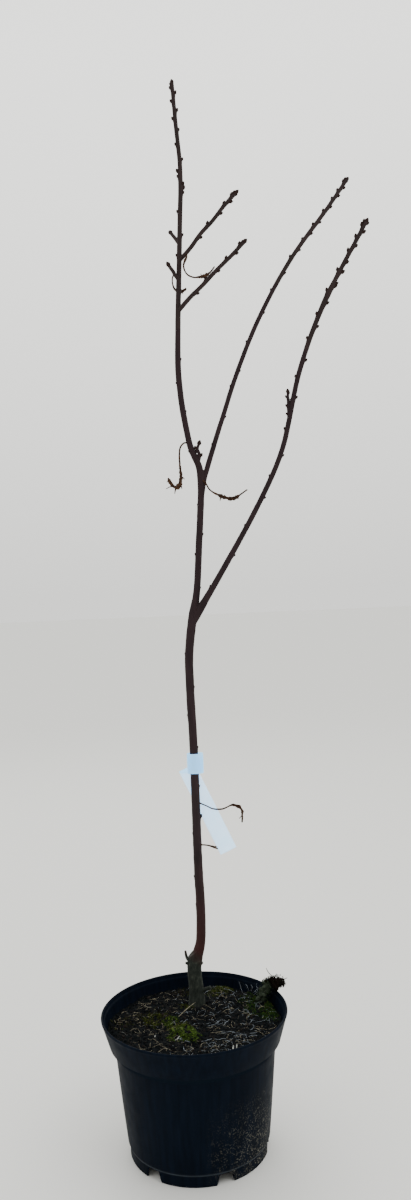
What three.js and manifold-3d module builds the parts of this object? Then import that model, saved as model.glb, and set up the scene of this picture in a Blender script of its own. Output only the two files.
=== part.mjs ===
// Potted aspleniifolia sweet chestnut: a young grafted tree, bare in winter, in a round nursery pot.
// Millimetres, +Z up. The origin is the middle of the pot's flat underside, and -Y is the front.

import * as THREE from 'three';
import { mergeVertices } from 'three/addons/utils/BufferGeometryUtils.js';
import Module from 'manifold-3d';

const wasm = await Module();
wasm.setup();
const { Manifold } = wasm;

const GAP = 0.3; // clearance between pieces that touch
const SLACK = 0.1; // added to it where two facetted walls run side by side
const WELD = 1e-4; // corners closer than this are one corner
const SPHERE_SIDES = [5, 3]; // facets of a bud, around and along

// Facets of the limbs: sides, and the spacing of their rings
const FACETS = {
  stock: [14, 11],
  scion: [12, 20],
  leader: [12, 14],
  leftBough: [10, 13],
  highBough: [9, 15],
  lowBough: [10, 15],
  leftTip: [8, 18],
  rightTip: [7, 18],
  shoot: [6, 14],
  snag: [6, 8],
  leaf: [6, 5],
};

// Pot: a 7.5 litre injection-moulded container
const POT = {
  height: 201,
  rimRadius: 137.5,
  bandHeight: 40,
  bandFootRadius: 126,
  wallTopRadius: 118,
  wallFootRadius: 105,
  stepHeight: 9,
  footRadius: 102,
  footHeight: 17,
  sheet: 2.2,
  padRadius: 22,
  lugs: 6,
  notchTop: 17,
  notchFoot: 27,
  notchDepth: 30,
  frontLugTurn: -8.5,
  segments: 48,
};

// Compost: its level at the wall, and the low mound that the stem stands on
const SOIL = {
  level: 180,
  stem: [3, 60],
  stemLevel: 184,
  flatRadius: 18,
  moundRadius: 75,
  wave: 1.6,
  waveLength: [19, 23],
  rings: [1, 0.89, 0.72, 0.57, 0.42, 0.27, 0.11, 0], // shares of the way from the stem's patch to the wall
};
// Moss cushions on the compost: [x, y, radius, height]
const MOSS = [
  [-21, -29, 24, 6],
  [-4, -46, 20, 6],
  [-36, 13, 22, 4],
  [-88, 12, 24, 3],
  [42, 104, 20, 4],
  [106, 48, 22, 5],
];
// Clump of old moss and stalks that grew at the wall and leans out over the rim: [x, y, z, radius]
const CLUMP = [
  [103, 56, 184, 8.5],
  [105.5, 57, 194, 9.5],
  [109.5, 57, 203, 9],
  [114, 57, 209, 8],
  [119, 56, 215, 6.5],
  [124.5, 54, 213, 8.5],
  [130, 53, 215.5, 8.5],
  [134.5, 51, 212.5, 5.5],
];
const LUMP = { seed: 41, deep: 1.1, low: 0.9, spread: 0.2, turn: 3 }; // how unevenly its lumps are shaped

// Rootstock: way points [x, y, z] and thickness as [height, radius]
const STOCK = {
  path: [[3, 60, 168], [3, 60, 200], [1, 60, 240], [4, 58, 270]],
  radii: [[168, 16], [184, 13.2], [200, 11.3], [240, 10.7], [256, 10.4], [270, 9]],
  heel: { at: [-9, 254], slope: 42 }, // the slanted cut that was left where its own top came off
  block: 80, // the cutters of the heel and of the flat foot
};
// Snags on the rootstock: way points, root radius and end radius
const SNAGS = [
  { path: [[6, 58, 202], [14, 55, 205], [25, 50, 211]], thick: 2.6, thin: 1.9 },
  { path: [[-5, 58, 248], [-9.5, 57, 255], [-11.5, 54, 267]], thick: 2, thin: 1.1 },
  { path: [[-5, 58, 244], [-9, 57, 246], [-12, 56, 248]], thick: 1.8, thin: 1.2 },
  { path: [[6, 58, 243], [11, 58, 244.5], [14.5, 57, 247]], thick: 1.8, thin: 1.2 },
];

// Main stem: one line from the graft, through both forks, to the crown's tip
const STEM = {
  path: [
    [2, 60, 226], [5, 58, 252], [12.2, 57, 278], [14.8, 56, 330], [13.8, 54.5, 390], [14.1, 52, 500],
    [14.3, 49.5, 590], [12.8, 48, 670], [13.6, 46, 722], [20, 45, 770], [28.8, 45, 815], [35.2, 45, 885],
    [42.4, 50, 985], [40.2, 50, 1008], [34.4, 49.5, 1022], [28.9, 48.5, 1037], [24, 47, 1062],
    [18.6, 44.5, 1100], [15.2, 43, 1150], [17.6, 41, 1220], [22.6, 38.5, 1300], [26.2, 36, 1360],
    [30.8, 35, 1450], [26.8, 33, 1520], [23.8, 30, 1578],
  ],
  radii: [
    [226, 7], [250, 8.6], [278, 6.7], [420, 6], [590, 5.7], [740, 5.85], [786, 6.4], [806, 4.9], [830, 4.5],
    [960, 4.45], [985, 4.9], [1006, 4.5], [1022, 4.1], [1172, 3.9], [1206, 3.55], [1340, 3.15], [1480, 2.7],
    [1578, 2.2],
  ],
  lowestBud: 290,
  forks: [700, 1100], // the stretch that the side boughs are cut clear of
  withered: [300, 1500], // the stretch that the withered leaves are cut clear of
  seed: 18649,
};
const FIRST_FORK = 790;
const SECOND_FORK = 991;
const LEFT_MASS = 1216; // height at which the left bough passes into its twigs

const RIGHT_HIGH = {
  path: [
    [43.5, 50, 966], [45.5, 50.6, 978], [48.3, 52, 991], [52.6, 53.8, 1004], [62.5, 60, 1034],
    [83.6, 71.4, 1094], [103, 80.5, 1148], [143, 99, 1240], [199.5, 120, 1339], [265.5, 142, 1428],
    [300, 154, 1477],
  ],
  radii: [[966, 3.2], [1006, 3.3], [1035, 3.1], [1090, 2.9], [1185, 2.75], [1400, 2.6], [1477, 2.2]],
  mass: 1300,
  seed: 4838,
};
const RIGHT_LOW = {
  path: [
    [20, 46, 768], [38, 40, 798], [61, 30, 834], [129, -2, 948], [161, -25, 1016], [187.6, -60, 1122],
    [220, -90, 1203], [277.5, -120, 1302],
  ],
  radii: [
    [768, 5], [798, 5.1], [825, 4.3], [900, 3.75], [960, 3.5], [1060, 3.4], [1150, 3.1], [1185, 3.05],
    [1216, 3.6], [1230, 2.8], [1302, 2.3],
  ],
  mass: 1150,
  seed: 6895,
};

// Short shoots: height on their limb, heading from +X towards +Y in degrees, reach out, rise, root radius
// and seed; a smooth one bears only its end bud
const LEFT_SHOOTS = [
  { height: 1316, heading: -35.5, reach: 105.5, rise: 72, radius: 2.6, seed: 7359 },
  { height: 1241, heading: -33, reach: 119, rise: 76, radius: 2.7, seed: 5598 },
  { height: 1341, heading: 127, reach: 21, rise: 23, radius: 2.4, seed: 81, smooth: true },
  { height: 1287, heading: 227, reach: 20, rise: 18, radius: 2.4, seed: 91, smooth: true },
];
const SHOOT = { steps: 5, stray: 0.045, taper: 0.78 };

// Spurs: way points, root radius and seed
const FORK_SPUR = {
  path: [[39.5, 50, 1010], [41.6, 48, 1026], [39.4, 47, 1034], [41.6, 46, 1040.5]],
  radius: 1.9,
  seed: 68,
};
const LOW_SPUR = {
  path: [[171.8, -38.5, 1055], [170.6, -43.5, 1070], [170.6, -47, 1083], [169.9, -50, 1093]],
  radius: 1.75,
  seed: 131,
};

// Buds sit closer and grow plumper towards a tip, and keep clear of forks and of the masses' ends
const BUD = {
  tipGap: 7, gapGrowth: 0.12, shootGrowth: 0.3, oldGap: 43, oldAt: 420, gapSpread: 0.8,
  length: 5.8, oldLength: 3.6, slimness: 0.74, point: 0.25, sunk: 0.8,
  splay: 36, turnSpread: 70, forkRoom: 20, boughRoom: 45, endRoom: 4,
};
const TIP_BUD = 1.15; // a tip's bud against the others

// Withered leaves that still hang on: way points from the middle of the wood that carries them, then the
// share of the length that is blade, its width, its twist and the short shoot that carries it, if one does
const DRY_LEAVES = {
  dry_leaf_fork_right: {
    path: [
      [42, 48, 990], [49.5, 45, 981], [55, 43, 971], [67, 38, 962], [81, 32, 956], [91, 28, 955],
      [111, 20, 966],
    ],
    blade: [0.4, 0.88], width: 5.6, twist: 300,
  },
  dry_leaf_fork_left: {
    path: [
      [27.5, 48.5, 1043], [19.5, 47, 1043.5], [13.5, 45.5, 1037], [11.5, 44, 1025], [11.7, 42.5, 1010],
      [12.9, 41, 995], [12, 39.5, 984], [5.3, 38, 975.5], [-1.5, 36.5, 980], [-7, 35, 990],
    ],
    blade: [0.45, 1], width: 9, twist: 150,
  },
  dry_leaf_stem_upper: {
    path: [
      [13, 52, 497], [30, 44, 491], [40, 40, 487], [54, 36, 487], [72, 30, 494], [83, 27, 487],
      [83, 26, 468],
    ],
    blade: [0.35, 0.98], width: 4.2, twist: 500,
  },
  dry_leaf_stem_lower: {
    path: [[13, 53, 430], [30, 46, 430], [39, 42, 428], [45, 40, 426]],
    blade: [0.5, 0.95], width: 2.4, twist: 200,
  },
  dry_leaf_twig_right: {
    path: [
      [35.2, 29.8, 1325.4], [34.6, 29, 1317.4], [31.4, 28, 1311], [30, 28, 1304.5], [31.5, 27, 1297],
      [36, 25.5, 1290], [44.8, 24, 1285.6], [54, 22, 1285.5], [62.8, 20, 1286.3], [69, 18, 1290],
      [75.9, 17, 1298],
    ],
    blade: [0.55, 0.95], width: 4.5, twist: 300, shoot: 0,
  },
  dry_leaf_twig_left: {
    path: [
      [16.5, 33.1, 1294.2], [13.2, 33.2, 1291.5], [12, 34.5, 1285], [12.6, 37, 1279.5], [15.2, 41, 1274.7],
      [21.3, 45, 1272.6], [27.4, 45.5, 1272.3], [32.5, 44, 1276.5],
    ],
    blade: [0.55, 0.95], width: 4, twist: 300, shoot: 3,
  },
};

// A withered leaf's stalk, and how unevenly its blade is rolled
const STALK = 0.75;
const ROLL = { even: 0.7, uneven: 0.3, waves: 9 };

// Blank strip label: a loose loop round the stem, and its tail, which hangs from the loop's back
const LABEL = {
  strip: 26.7,
  sheet: 0.7,
  loop: [12.2, 8.6],
  loopSides: 14,
  loopHeight: 30,
  loopShift: 1.5,
  foot: 540.5,
  lean: 24.3,
  tail: 143,
  tailSteps: 8,
  tailShift: -12,
  tailBack: 4,
  tailTop: 6.5,
  sag: 2,
};

// The pot's outside as [radius, height], from the foot ring up to the lip
const BAND_FOOT = POT.height - POT.bandHeight;
const OUTSIDE = [
  [POT.footRadius, 0],
  [POT.footRadius, POT.footHeight - 2],
  [POT.wallFootRadius - 1.4, POT.footHeight + 0.8],
  [POT.wallFootRadius, POT.footHeight + 4],
  [POT.wallTopRadius, BAND_FOOT - POT.stepHeight],
  [POT.wallTopRadius + 1.4, BAND_FOOT - 5],
  [POT.bandFootRadius - 3.6, BAND_FOOT - 1.6],
  [POT.bandFootRadius, BAND_FOOT],
  [POT.rimRadius - 1, POT.height - 5],
  [POT.rimRadius, POT.height - 3],
];
// The pot's inside as [radius, height], from the floor to the mouth
const INSIDE = [
  [POT.footRadius - 3, POT.footHeight],
  [POT.wallFootRadius - 4, POT.footHeight + 1.4],
  [POT.wallFootRadius - POT.sheet, POT.footHeight + 5],
  [POT.wallTopRadius - POT.sheet, BAND_FOOT - POT.stepHeight],
  [POT.wallTopRadius + 1.6, BAND_FOOT - 2.6],
  [POT.bandFootRadius - POT.sheet, BAND_FOOT + 0.6],
  [POT.rimRadius - POT.sheet - 0.9, POT.height - 1.2],
];

function seeded(seed) {
  let state = seed;
  return () => {
    state = (state + 0x6d2b79f5) | 0;
    let mixed = Math.imul(state ^ (state >>> 15), 1 | state);
    mixed = (mixed + Math.imul(mixed ^ (mixed >>> 7), 61 | mixed)) ^ mixed;
    return ((mixed ^ (mixed >>> 14)) >>> 0) / 4294967296;
  };
}

// Straight-line reading of a list of [where, value] pairs
function read(stations, where) {
  const last = stations.length - 1;
  if (where <= stations[0][0]) return stations[0][1];
  for (let i = 1; i <= last; i += 1) {
    const [high, value] = stations[i];
    if (where <= high) {
      const [low, before] = stations[i - 1];
      return THREE.MathUtils.mapLinear(where, low, high, before, value);
    }
  }
  return stations[last][1];
}

// Closed solid of a geometry whose corners are shared
function toSolid(geometry) {
  const bare = geometry.clone();
  bare.deleteAttribute('normal');
  bare.deleteAttribute('uv');
  const merged = mergeVertices(bare, WELD);
  const corners = merged.index.array;
  const kept = [];
  for (let i = 0; i < corners.length; i += 3) {
    const [a, b, c] = [corners[i], corners[i + 1], corners[i + 2]];
    if (a !== b && b !== c && c !== a) kept.push(a, b, c);
  }
  return new Manifold(new wasm.Mesh({
    numProp: 3,
    vertProperties: merged.attributes.position.array,
    triVerts: new Uint32Array(kept),
  }));
}

function toMesh(name, solid, material) {
  const { vertProperties, triVerts } = solid.getMesh();
  const geometry = new THREE.BufferGeometry();
  geometry.setAttribute('position', new THREE.BufferAttribute(vertProperties, 3));
  geometry.setIndex(new THREE.BufferAttribute(triVerts, 1));
  geometry.computeVertexNormals();
  const mesh = new THREE.Mesh(geometry, material);
  mesh.name = name;
  return mesh;
}

// A limb's middle line with its thickness
class Line {
  constructor({ path, radii }) {
    const points = path.map((point) => new THREE.Vector3(...point));
    this.curve = new THREE.CatmullRomCurve3(points, false, 'centripetal');
    this.curve.arcLengthDivisions = 600;
    this.length = this.curve.getLength();
    this.radii = radii;
  }

  // Fraction of the length at which the rising line passes a height
  fractionAt(height) {
    let low = 0;
    let high = 1;
    for (let i = 0; i < 40; i += 1) {
      const middle = (low + high) / 2;
      if (this.curve.getPointAt(middle).z < height) low = middle;
      else high = middle;
    }
    return (low + high) / 2;
  }

  // Place, direction and two cross directions at a fraction: side is to the right, front is to the viewer
  frameAt(fraction) {
    const at = this.curve.getPointAt(fraction);
    const along = this.curve.getTangentAt(fraction);
    const side = new THREE.Vector3(0, 1, 0).cross(along).normalize();
    const front = new THREE.Vector3().crossVectors(side, along);
    return { at, along, side, front };
  }

  radiusAt(fraction) {
    return read(this.radii, this.curve.getPointAt(fraction).z);
  }
}

// Bends an upright unit cylinder along a line: section gives its half width, half thickness and twist
function sweep(line, from, to, sides, rings, section) {
  const shape = new THREE.CylinderGeometry(1, 1, 1, sides, rings);
  const places = shape.attributes.position;
  for (let i = 0; i < places.count; i += 1) {
    const share = places.getY(i) + 0.5;
    const { at, side, front } = line.frameAt(THREE.MathUtils.lerp(from, to, share));
    const { width, thickness, twist } = section(share);
    const x = places.getX(i) * width;
    const z = places.getZ(i) * thickness;
    at.addScaledVector(side, x * Math.cos(twist) - z * Math.sin(twist));
    at.addScaledVector(front, x * Math.sin(twist) + z * Math.cos(twist));
    places.setXYZ(i, at.x, at.y, at.z);
  }
  return toSolid(shape);
}

// One tapering limb between two heights of its line, or a little fatter to cut its neighbours clear
function limb(line, fromHeight, toHeight, [sides, step], spare = 0) {
  const from = line.fractionAt(fromHeight);
  const to = line.fractionAt(toHeight);
  const rings = Math.max(2, Math.ceil(((to - from) * line.length) / step));
  return sweep(line, from, to, sides, rings, (share) => {
    const radius = line.radiusAt(THREE.MathUtils.lerp(from, to, share)) + spare;
    return { width: radius, thickness: radius, twist: 0 };
  });
}

// A pointed bud with its foot sunk in the bark
function bud(at, direction, length) {
  const shape = new THREE.SphereGeometry(1, ...SPHERE_SIDES);
  const places = shape.attributes.position;
  const half = length / 2;
  for (let i = 0; i < places.count; i += 1) {
    const up = places.getY(i);
    const width = half * BUD.slimness * (1 - BUD.point * Math.max(0, up));
    places.setXYZ(i, places.getX(i) * width, (up + 0.5) * half, places.getZ(i) * width);
  }
  shape.applyQuaternion(new THREE.Quaternion().setFromUnitVectors(new THREE.Vector3(0, 1, 0), direction));
  shape.translate(at.x, at.y, at.z);
  return toSolid(shape);
}

// Places of all the buds of a line, from its tip down, on alternate sides
function budPlaces(line, seed, growth = BUD.gapGrowth) {
  const random = seeded(seed);
  const places = [];
  let down = BUD.tipGap;
  let turn = random() < 0.5 ? 0 : 180;
  while (down < line.length) {
    places.push({
      fraction: 1 - down / line.length,
      turn: turn + (random() - 0.5) * BUD.turnSpread,
      length: read([[0, BUD.length], [BUD.oldAt, BUD.oldLength]], down),
    });
    const gap = Math.min(BUD.oldGap, BUD.tipGap + growth * down);
    down += gap * (1 + BUD.gapSpread * (random() - 0.5));
    turn += 180;
  }
  return places;
}

// The buds of a line that lie between two heights
function budsBetween(line, places, fromHeight, toHeight) {
  const splay = THREE.MathUtils.degToRad(BUD.splay);
  return places.flatMap(({ fraction, turn, length }) => {
    const { at, along, side, front } = line.frameAt(fraction);
    if (at.z < fromHeight + BUD.length || at.z > toHeight - BUD.length) return [];
    const angle = THREE.MathUtils.degToRad(turn);
    const out = side.multiplyScalar(Math.cos(angle)).addScaledVector(front, Math.sin(angle));
    at.addScaledVector(out, line.radiusAt(fraction) * BUD.sunk);
    const direction = out.multiplyScalar(Math.sin(splay)).addScaledVector(along, Math.cos(splay)).normalize();
    return [bud(at, direction, length)];
  });
}

function tipBud(line) {
  const { at, along } = line.frameAt(1);
  return bud(at, along, BUD.length * TIP_BUD);
}

// Line of a short shoot that leaves a limb, bends up and wanders a little at its nodes
function shootLine(parent, { height, heading, reach, rise, radius, seed }) {
  const random = seeded(seed);
  const foot = parent.curve.getPointAt(parent.fractionAt(height));
  const turn = THREE.MathUtils.degToRad(heading);
  const path = [];
  for (let i = 0; i <= SHOOT.steps; i += 1) {
    const share = i / SHOOT.steps;
    const stray = i === 0 || i === SHOOT.steps ? 0 : (random() - 0.5) * SHOOT.stray * reach;
    const out = reach * share;
    path.push([
      foot.x + Math.cos(turn) * out - Math.sin(turn) * stray,
      foot.y + Math.sin(turn) * out + Math.cos(turn) * stray,
      foot.z + rise * share,
    ]);
  }
  return new Line({ path, radii: [[foot.z, radius], [foot.z + rise, radius * SHOOT.taper]] });
}

const endHeights = (line) => [0, 1].map((fraction) => line.curve.getPointAt(fraction).z);

// The wood of a shoot or spur, or a little fatter to cut its neighbours clear
const shootWood = (line, spare = 0) => limb(line, ...endHeights(line), FACETS.shoot, spare);

// A shoot or spur with its buds and tip
function shoot(line, seed, smooth = false) {
  const [foot, top] = endHeights(line);
  const places = smooth ? [] : budPlaces(line, seed + 1, BUD.shootGrowth);
  const buds = budsBetween(line, places, foot + BUD.endRoom, top + BUD.length);
  return Manifold.union([shootWood(line), tipBud(line), ...buds]);
}

function spur({ path, radius, seed }) {
  const [foot, top] = [path[0][2], path.at(-1)[2]];
  return shoot(new Line({ path, radii: [[foot, radius], [top, radius * SHOOT.taper]] }), seed);
}

const material = (color, roughness) => new THREE.MeshStandardMaterial({ color, roughness, metalness: 0 });
const MATERIALS = {
  pot: material(0x17191d, 0.55),
  soil: material(0x2b211a, 0.95),
  clump: material(0x3d3a24, 0.95),
  trunk: material(0x54403a, 0.8),
  bark: material(0x472f2c, 0.7),
  twigs: material(0x4a2f2a, 0.65),
  dryLeaf: material(0x6b4630, 0.9),
  label: material(0xe6edf2, 0.6),
};

const turned = (profile) => {
  const points = profile.map(([radius, height]) => new THREE.Vector2(radius, height));
  return new THREE.LatheGeometry(points, POT.segments).rotateX(Math.PI / 2);
};

// The pot's shell, or the same shell grown by a clearance
function potShell(spare = 0) {
  const underside = [
    [0, 0],
    [POT.padRadius, 0],
    [POT.padRadius + 3, POT.footHeight - POT.sheet],
    [POT.footRadius - POT.sheet, POT.footHeight - POT.sheet],
    [POT.footRadius - POT.sheet, 0],
  ];
  const outside = OUTSIDE.map(([radius, height]) => [radius + spare, height]);
  const lip = [
    [POT.rimRadius + spare, POT.height - 1 + spare],
    [POT.rimRadius - 1, POT.height + spare],
    [POT.rimRadius - POT.sheet, POT.height + spare],
  ];
  const inside = INSIDE.map(([radius, height]) => [radius - spare, height]).reverse();
  const pad = [[POT.padRadius + 1.6, POT.footHeight], [POT.padRadius - 1.2, POT.sheet], [0, POT.sheet]];
  return toSolid(turned([...underside, ...outside, ...lip, ...inside, ...pad]));
}

// A tapering wedge that cuts one drain notch through the foot ring
function notch(turn) {
  const outline = new THREE.Shape();
  outline.moveTo(-POT.notchFoot / 2, -1);
  outline.lineTo(POT.notchFoot / 2, -1);
  outline.lineTo(POT.notchTop / 2, POT.footHeight - POT.sheet);
  outline.lineTo(-POT.notchTop / 2, POT.footHeight - POT.sheet);
  outline.closePath();
  const shape = new THREE.ExtrudeGeometry(outline, { depth: POT.notchDepth, bevelEnabled: false, steps: 1 });
  shape.rotateX(Math.PI / 2);
  shape.translate(0, -POT.footRadius + POT.notchDepth / 2, 0);
  shape.rotateZ(THREE.MathUtils.degToRad(turn));
  return toSolid(shape);
}

function makePot() {
  const pitch = 360 / POT.lugs;
  const notches = Array.from({ length: POT.lugs }, (_, i) => notch(POT.frontLugTurn + pitch * (i + 0.5)));
  return potShell().subtract(Manifold.union(notches));
}

// Height of the compost's surface
function soilHeight(x, y) {
  const [stemX, stemY] = SOIL.stem;
  const away = Math.hypot(x - stemX, y - stemY);
  const patch = SOIL.stemLevel - GAP;
  if (away < SOIL.flatRadius + 1) return patch;
  const mound = THREE.MathUtils.smoothstep(away, SOIL.flatRadius, SOIL.moundRadius);
  let height = THREE.MathUtils.lerp(patch, SOIL.level, mound);
  height += SOIL.wave * mound * Math.sin(x / SOIL.waveLength[0] + 1) * Math.cos(y / SOIL.waveLength[1]);
  for (const [mossX, mossY, radius, rise] of MOSS) {
    const share = Math.hypot(x - mossX, y - mossY) / radius;
    if (share < 1) height += rise * (1 - share * share) ** 1.5;
  }
  return height;
}

// Root ball: fills the pot's inside, with its surface rings drawn towards the stem
function makeRootBall() {
  const clear = GAP + SLACK;
  const side = INSIDE.slice(0, -1).map(([radius, height]) => [radius - clear, height + GAP]);
  const mouth = read(INSIDE.map(([radius, height]) => [height, radius]), SOIL.level) - clear;
  const top = SOIL.rings.map((share) => [THREE.MathUtils.lerp(SOIL.flatRadius, mouth, share), SOIL.level]);
  const shape = turned([[0, side[0][1]], ...side, ...top, [0, SOIL.level]]);
  const places = shape.attributes.position;
  for (let i = 0; i < places.count; i += 1) {
    if (places.getZ(i) < SOIL.level - WELD) continue;
    const radius = Math.hypot(places.getX(i), places.getY(i));
    if (radius > mouth - WELD) continue;
    const draw = 1 - THREE.MathUtils.smoothstep(radius, SOIL.flatRadius, mouth);
    const x = places.getX(i) + SOIL.stem[0] * draw;
    const y = places.getY(i) + SOIL.stem[1] * draw;
    places.setXYZ(i, x, y, soilHeight(x, y));
  }
  return toSolid(shape);
}

// Clump: overlapping lumps, cut clear of the pot and the compost
function makeClump(rootBall) {
  const random = seeded(LUMP.seed);
  const lumps = CLUMP.map(([x, y, z, radius]) => {
    const lump = new THREE.IcosahedronGeometry(radius, 1);
    lump.scale(1, LUMP.deep, LUMP.low + LUMP.spread * random());
    lump.rotateY(random() * LUMP.turn);
    lump.translate(x, y, z);
    return toSolid(lump);
  });
  return Manifold.union(lumps).subtract(potShell(GAP)).subtract(rootBall.translate([0, 0, GAP]));
}

const stem = new Line(STEM);
const rightHigh = new Line(RIGHT_HIGH);
const rightLow = new Line(RIGHT_LOW);
const stemBuds = budPlaces(stem, STEM.seed);

// Trunk: rootstock and scion grown together, from the flat cut at the compost to the first fork
function makeTrunk() {
  const [low, high] = [STOCK.path[0][2], STOCK.path.at(-1)[2]];
  const { block, heel } = STOCK;
  const below = new THREE.BoxGeometry(block, block, block);
  below.translate(0, STOCK.path[0][1], SOIL.stemLevel - block / 2);
  const above = new THREE.BoxGeometry(block, block, block).translate(block / 4, 0, block / 2);
  above.rotateY(-THREE.MathUtils.degToRad(heel.slope));
  above.translate(heel.at[0], STOCK.path[0][1], heel.at[1]);
  const whole = limb(new Line(STOCK), low, high, FACETS.stock);
  const stock = whole.subtract(toSolid(below)).subtract(toSolid(above));
  const scion = limb(stem, STEM.path[0][2], FIRST_FORK, FACETS.scion);
  const snags = SNAGS.map(({ path, thick, thin }) => {
    const [foot, top] = [path[0][2], path.at(-1)[2]];
    return limb(new Line({ path, radii: [[foot, thick], [top, thin]] }), foot, top, FACETS.snag);
  });
  // No bud under the label, which lies close to the bark
  const buds = [
    ...budsBetween(stem, stemBuds, STEM.lowestBud, LABEL.foot - LABEL.tail / 2),
    ...budsBetween(stem, stemBuds, LABEL.foot + LABEL.loopHeight, FIRST_FORK),
  ];
  return Manifold.union([stock, scion, ...snags, ...buds]);
}

function makeLeader() {
  const buds = budsBetween(stem, stemBuds, FIRST_FORK + BUD.forkRoom, SECOND_FORK - BUD.forkRoom / 2);
  return Manifold.union([limb(stem, FIRST_FORK + GAP, SECOND_FORK, FACETS.leader), ...buds]);
}

function makeLeftBough() {
  const buds = budsBetween(stem, stemBuds, SECOND_FORK + BUD.forkRoom, LEFT_MASS - BUD.endRoom);
  const wood = limb(stem, SECOND_FORK + GAP, LEFT_MASS, FACETS.leftBough);
  return Manifold.union([wood, spur(FORK_SPUR), ...buds]);
}

function makeLeftTwigs() {
  const shoots = LEFT_SHOOTS.map((sizes) => shoot(shootLine(stem, sizes), sizes.seed, sizes.smooth));
  const buds = budsBetween(stem, stemBuds, LEFT_MASS + BUD.endRoom, Infinity);
  const wood = limb(stem, LEFT_MASS + GAP, STEM.path.at(-1)[2], FACETS.leftTip);
  return Manifold.union([wood, tipBud(stem), ...shoots, ...buds]);
}

const highBuds = budPlaces(rightHigh, RIGHT_HIGH.seed);
const lowBuds = budPlaces(rightLow, RIGHT_LOW.seed);
const mainClearance = limb(stem, ...STEM.forks, FACETS.leader, GAP);

function makeRightBough(line, sizes, buds, facets, extras) {
  const foot = sizes.path[0][2];
  const wood = limb(line, foot, sizes.mass, facets).subtract(mainClearance);
  const ownBuds = budsBetween(line, buds, foot + BUD.boughRoom, sizes.mass - BUD.endRoom);
  return Manifold.union([wood, ...extras, ...ownBuds]);
}

function makeRightTwigs(line, sizes, buds) {
  const wood = limb(line, sizes.mass + GAP, sizes.path.at(-1)[2], FACETS.rightTip);
  const ownBuds = budsBetween(line, buds, sizes.mass + BUD.endRoom, Infinity);
  return Manifold.union([wood, tipBud(line), ...ownBuds]);
}

// A shrivelled leaf: a thread of a stalk that widens into a rolled, twisted blade
function makeDryLeaf({ path, blade, width, twist }, wood) {
  const line = new Line({ path, radii: [[0, 1]] });
  const [sides, step] = FACETS.leaf;
  const leaf = sweep(line, 0, 1, sides, Math.ceil(line.length / step), (share) => {
    const [start, end] = blade;
    const along = THREE.MathUtils.clamp((share - start) / (end - start), 0, 1);
    const swell = Math.sin(Math.PI * along) * (ROLL.even + ROLL.uneven * Math.sin(ROLL.waves * along));
    return {
      width: STALK + (width / 2 - STALK) * Math.max(0, swell),
      thickness: STALK,
      twist: THREE.MathUtils.degToRad(twist) * share,
    };
  });
  return leaf.subtract(wood);
}

// Label: the loop lies against the front of the stem, and the tail is fused to its back
function makeLabel() {
  const [halfWidth, halfDepth] = LABEL.loop;
  const { at } = stem.frameAt(stem.fractionAt(LABEL.foot + LABEL.loopHeight));
  const radius = read(STEM.radii, at.z);
  const middle = at.y - radius - 2 * GAP - LABEL.sheet + halfDepth;
  const ring = new THREE.Shape().absellipse(0, 0, halfWidth, halfDepth, 0, 2 * Math.PI);
  const { sheet, loopHeight, loopSides } = LABEL;
  ring.holes.push(new THREE.Path().absellipse(0, 0, halfWidth - sheet, halfDepth - sheet, 0, 2 * Math.PI));
  const extrusion = { depth: loopHeight, bevelEnabled: false, curveSegments: loopSides };
  const loop = new THREE.ExtrudeGeometry(ring, extrusion);
  loop.translate(at.x + LABEL.loopShift, middle, LABEL.foot);

  const tail = new THREE.BoxGeometry(LABEL.strip, LABEL.sheet, LABEL.tail, 1, 1, LABEL.tailSteps);
  const places = tail.attributes.position;
  for (let i = 0; i < places.count; i += 1) {
    const down = 0.5 - places.getZ(i) / LABEL.tail;
    places.setY(i, places.getY(i) - LABEL.sag * down ** 2);
  }
  tail.translate(0, 0, -LABEL.tail / 2);
  tail.rotateY(-THREE.MathUtils.degToRad(LABEL.lean));
  tail.translate(at.x + LABEL.tailShift, at.y + radius + LABEL.tailBack, LABEL.foot + LABEL.tailTop);
  return toSolid(loop).add(toSolid(tail));
}

const rootBall = makeRootBall();
const rightLowBough = makeRightBough(rightLow, RIGHT_LOW, lowBuds, FACETS.lowBough, [spur(LOW_SPUR)]);
const rightHighBough = makeRightBough(rightHigh, RIGHT_HIGH, highBuds, FACETS.highBough, []);
const leftTwigs = makeLeftTwigs();

const tree = new THREE.Group();
tree.add(
  toMesh('pot', makePot(), MATERIALS.pot),
  toMesh('root_ball', rootBall, MATERIALS.soil),
  toMesh('clump', makeClump(rootBall), MATERIALS.clump),
  toMesh('trunk', makeTrunk(), MATERIALS.trunk),
  toMesh('leader', makeLeader(), MATERIALS.bark),
  toMesh('bough_left', makeLeftBough(), MATERIALS.bark),
  toMesh('bough_right_high', rightHighBough, MATERIALS.bark),
  toMesh('bough_right_low', rightLowBough, MATERIALS.bark),
  toMesh('twigs_left', leftTwigs, MATERIALS.twigs),
  toMesh('twigs_right_high', makeRightTwigs(rightHigh, RIGHT_HIGH, highBuds), MATERIALS.twigs),
  toMesh('twigs_right_low', makeRightTwigs(rightLow, RIGHT_LOW, lowBuds), MATERIALS.twigs),
  toMesh('label', makeLabel(), MATERIALS.label),
);

// Each withered leaf is cut clear of the wood that carries it
const wholeStem = limb(stem, ...STEM.withered, FACETS.leader, GAP);
for (const [name, leaf] of Object.entries(DRY_LEAVES)) {
  const sizes = LEFT_SHOOTS[leaf.shoot];
  const wood = sizes ? shootWood(shootLine(stem, sizes), GAP) : wholeStem;
  tree.add(toMesh(name, makeDryLeaf(leaf, wood), MATERIALS.dryLeaf));
}

export default tree;
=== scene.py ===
"""Potted aspleniifolia sweet chestnut: a young grafted tree, bare in winter, in its nursery pot.

Shapes are worked out in millimetres in the CAD frame and scaled to metres when their mesh is made.
"""

import math

import bpy
import numpy as np
from mathutils import Matrix, Vector


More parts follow.
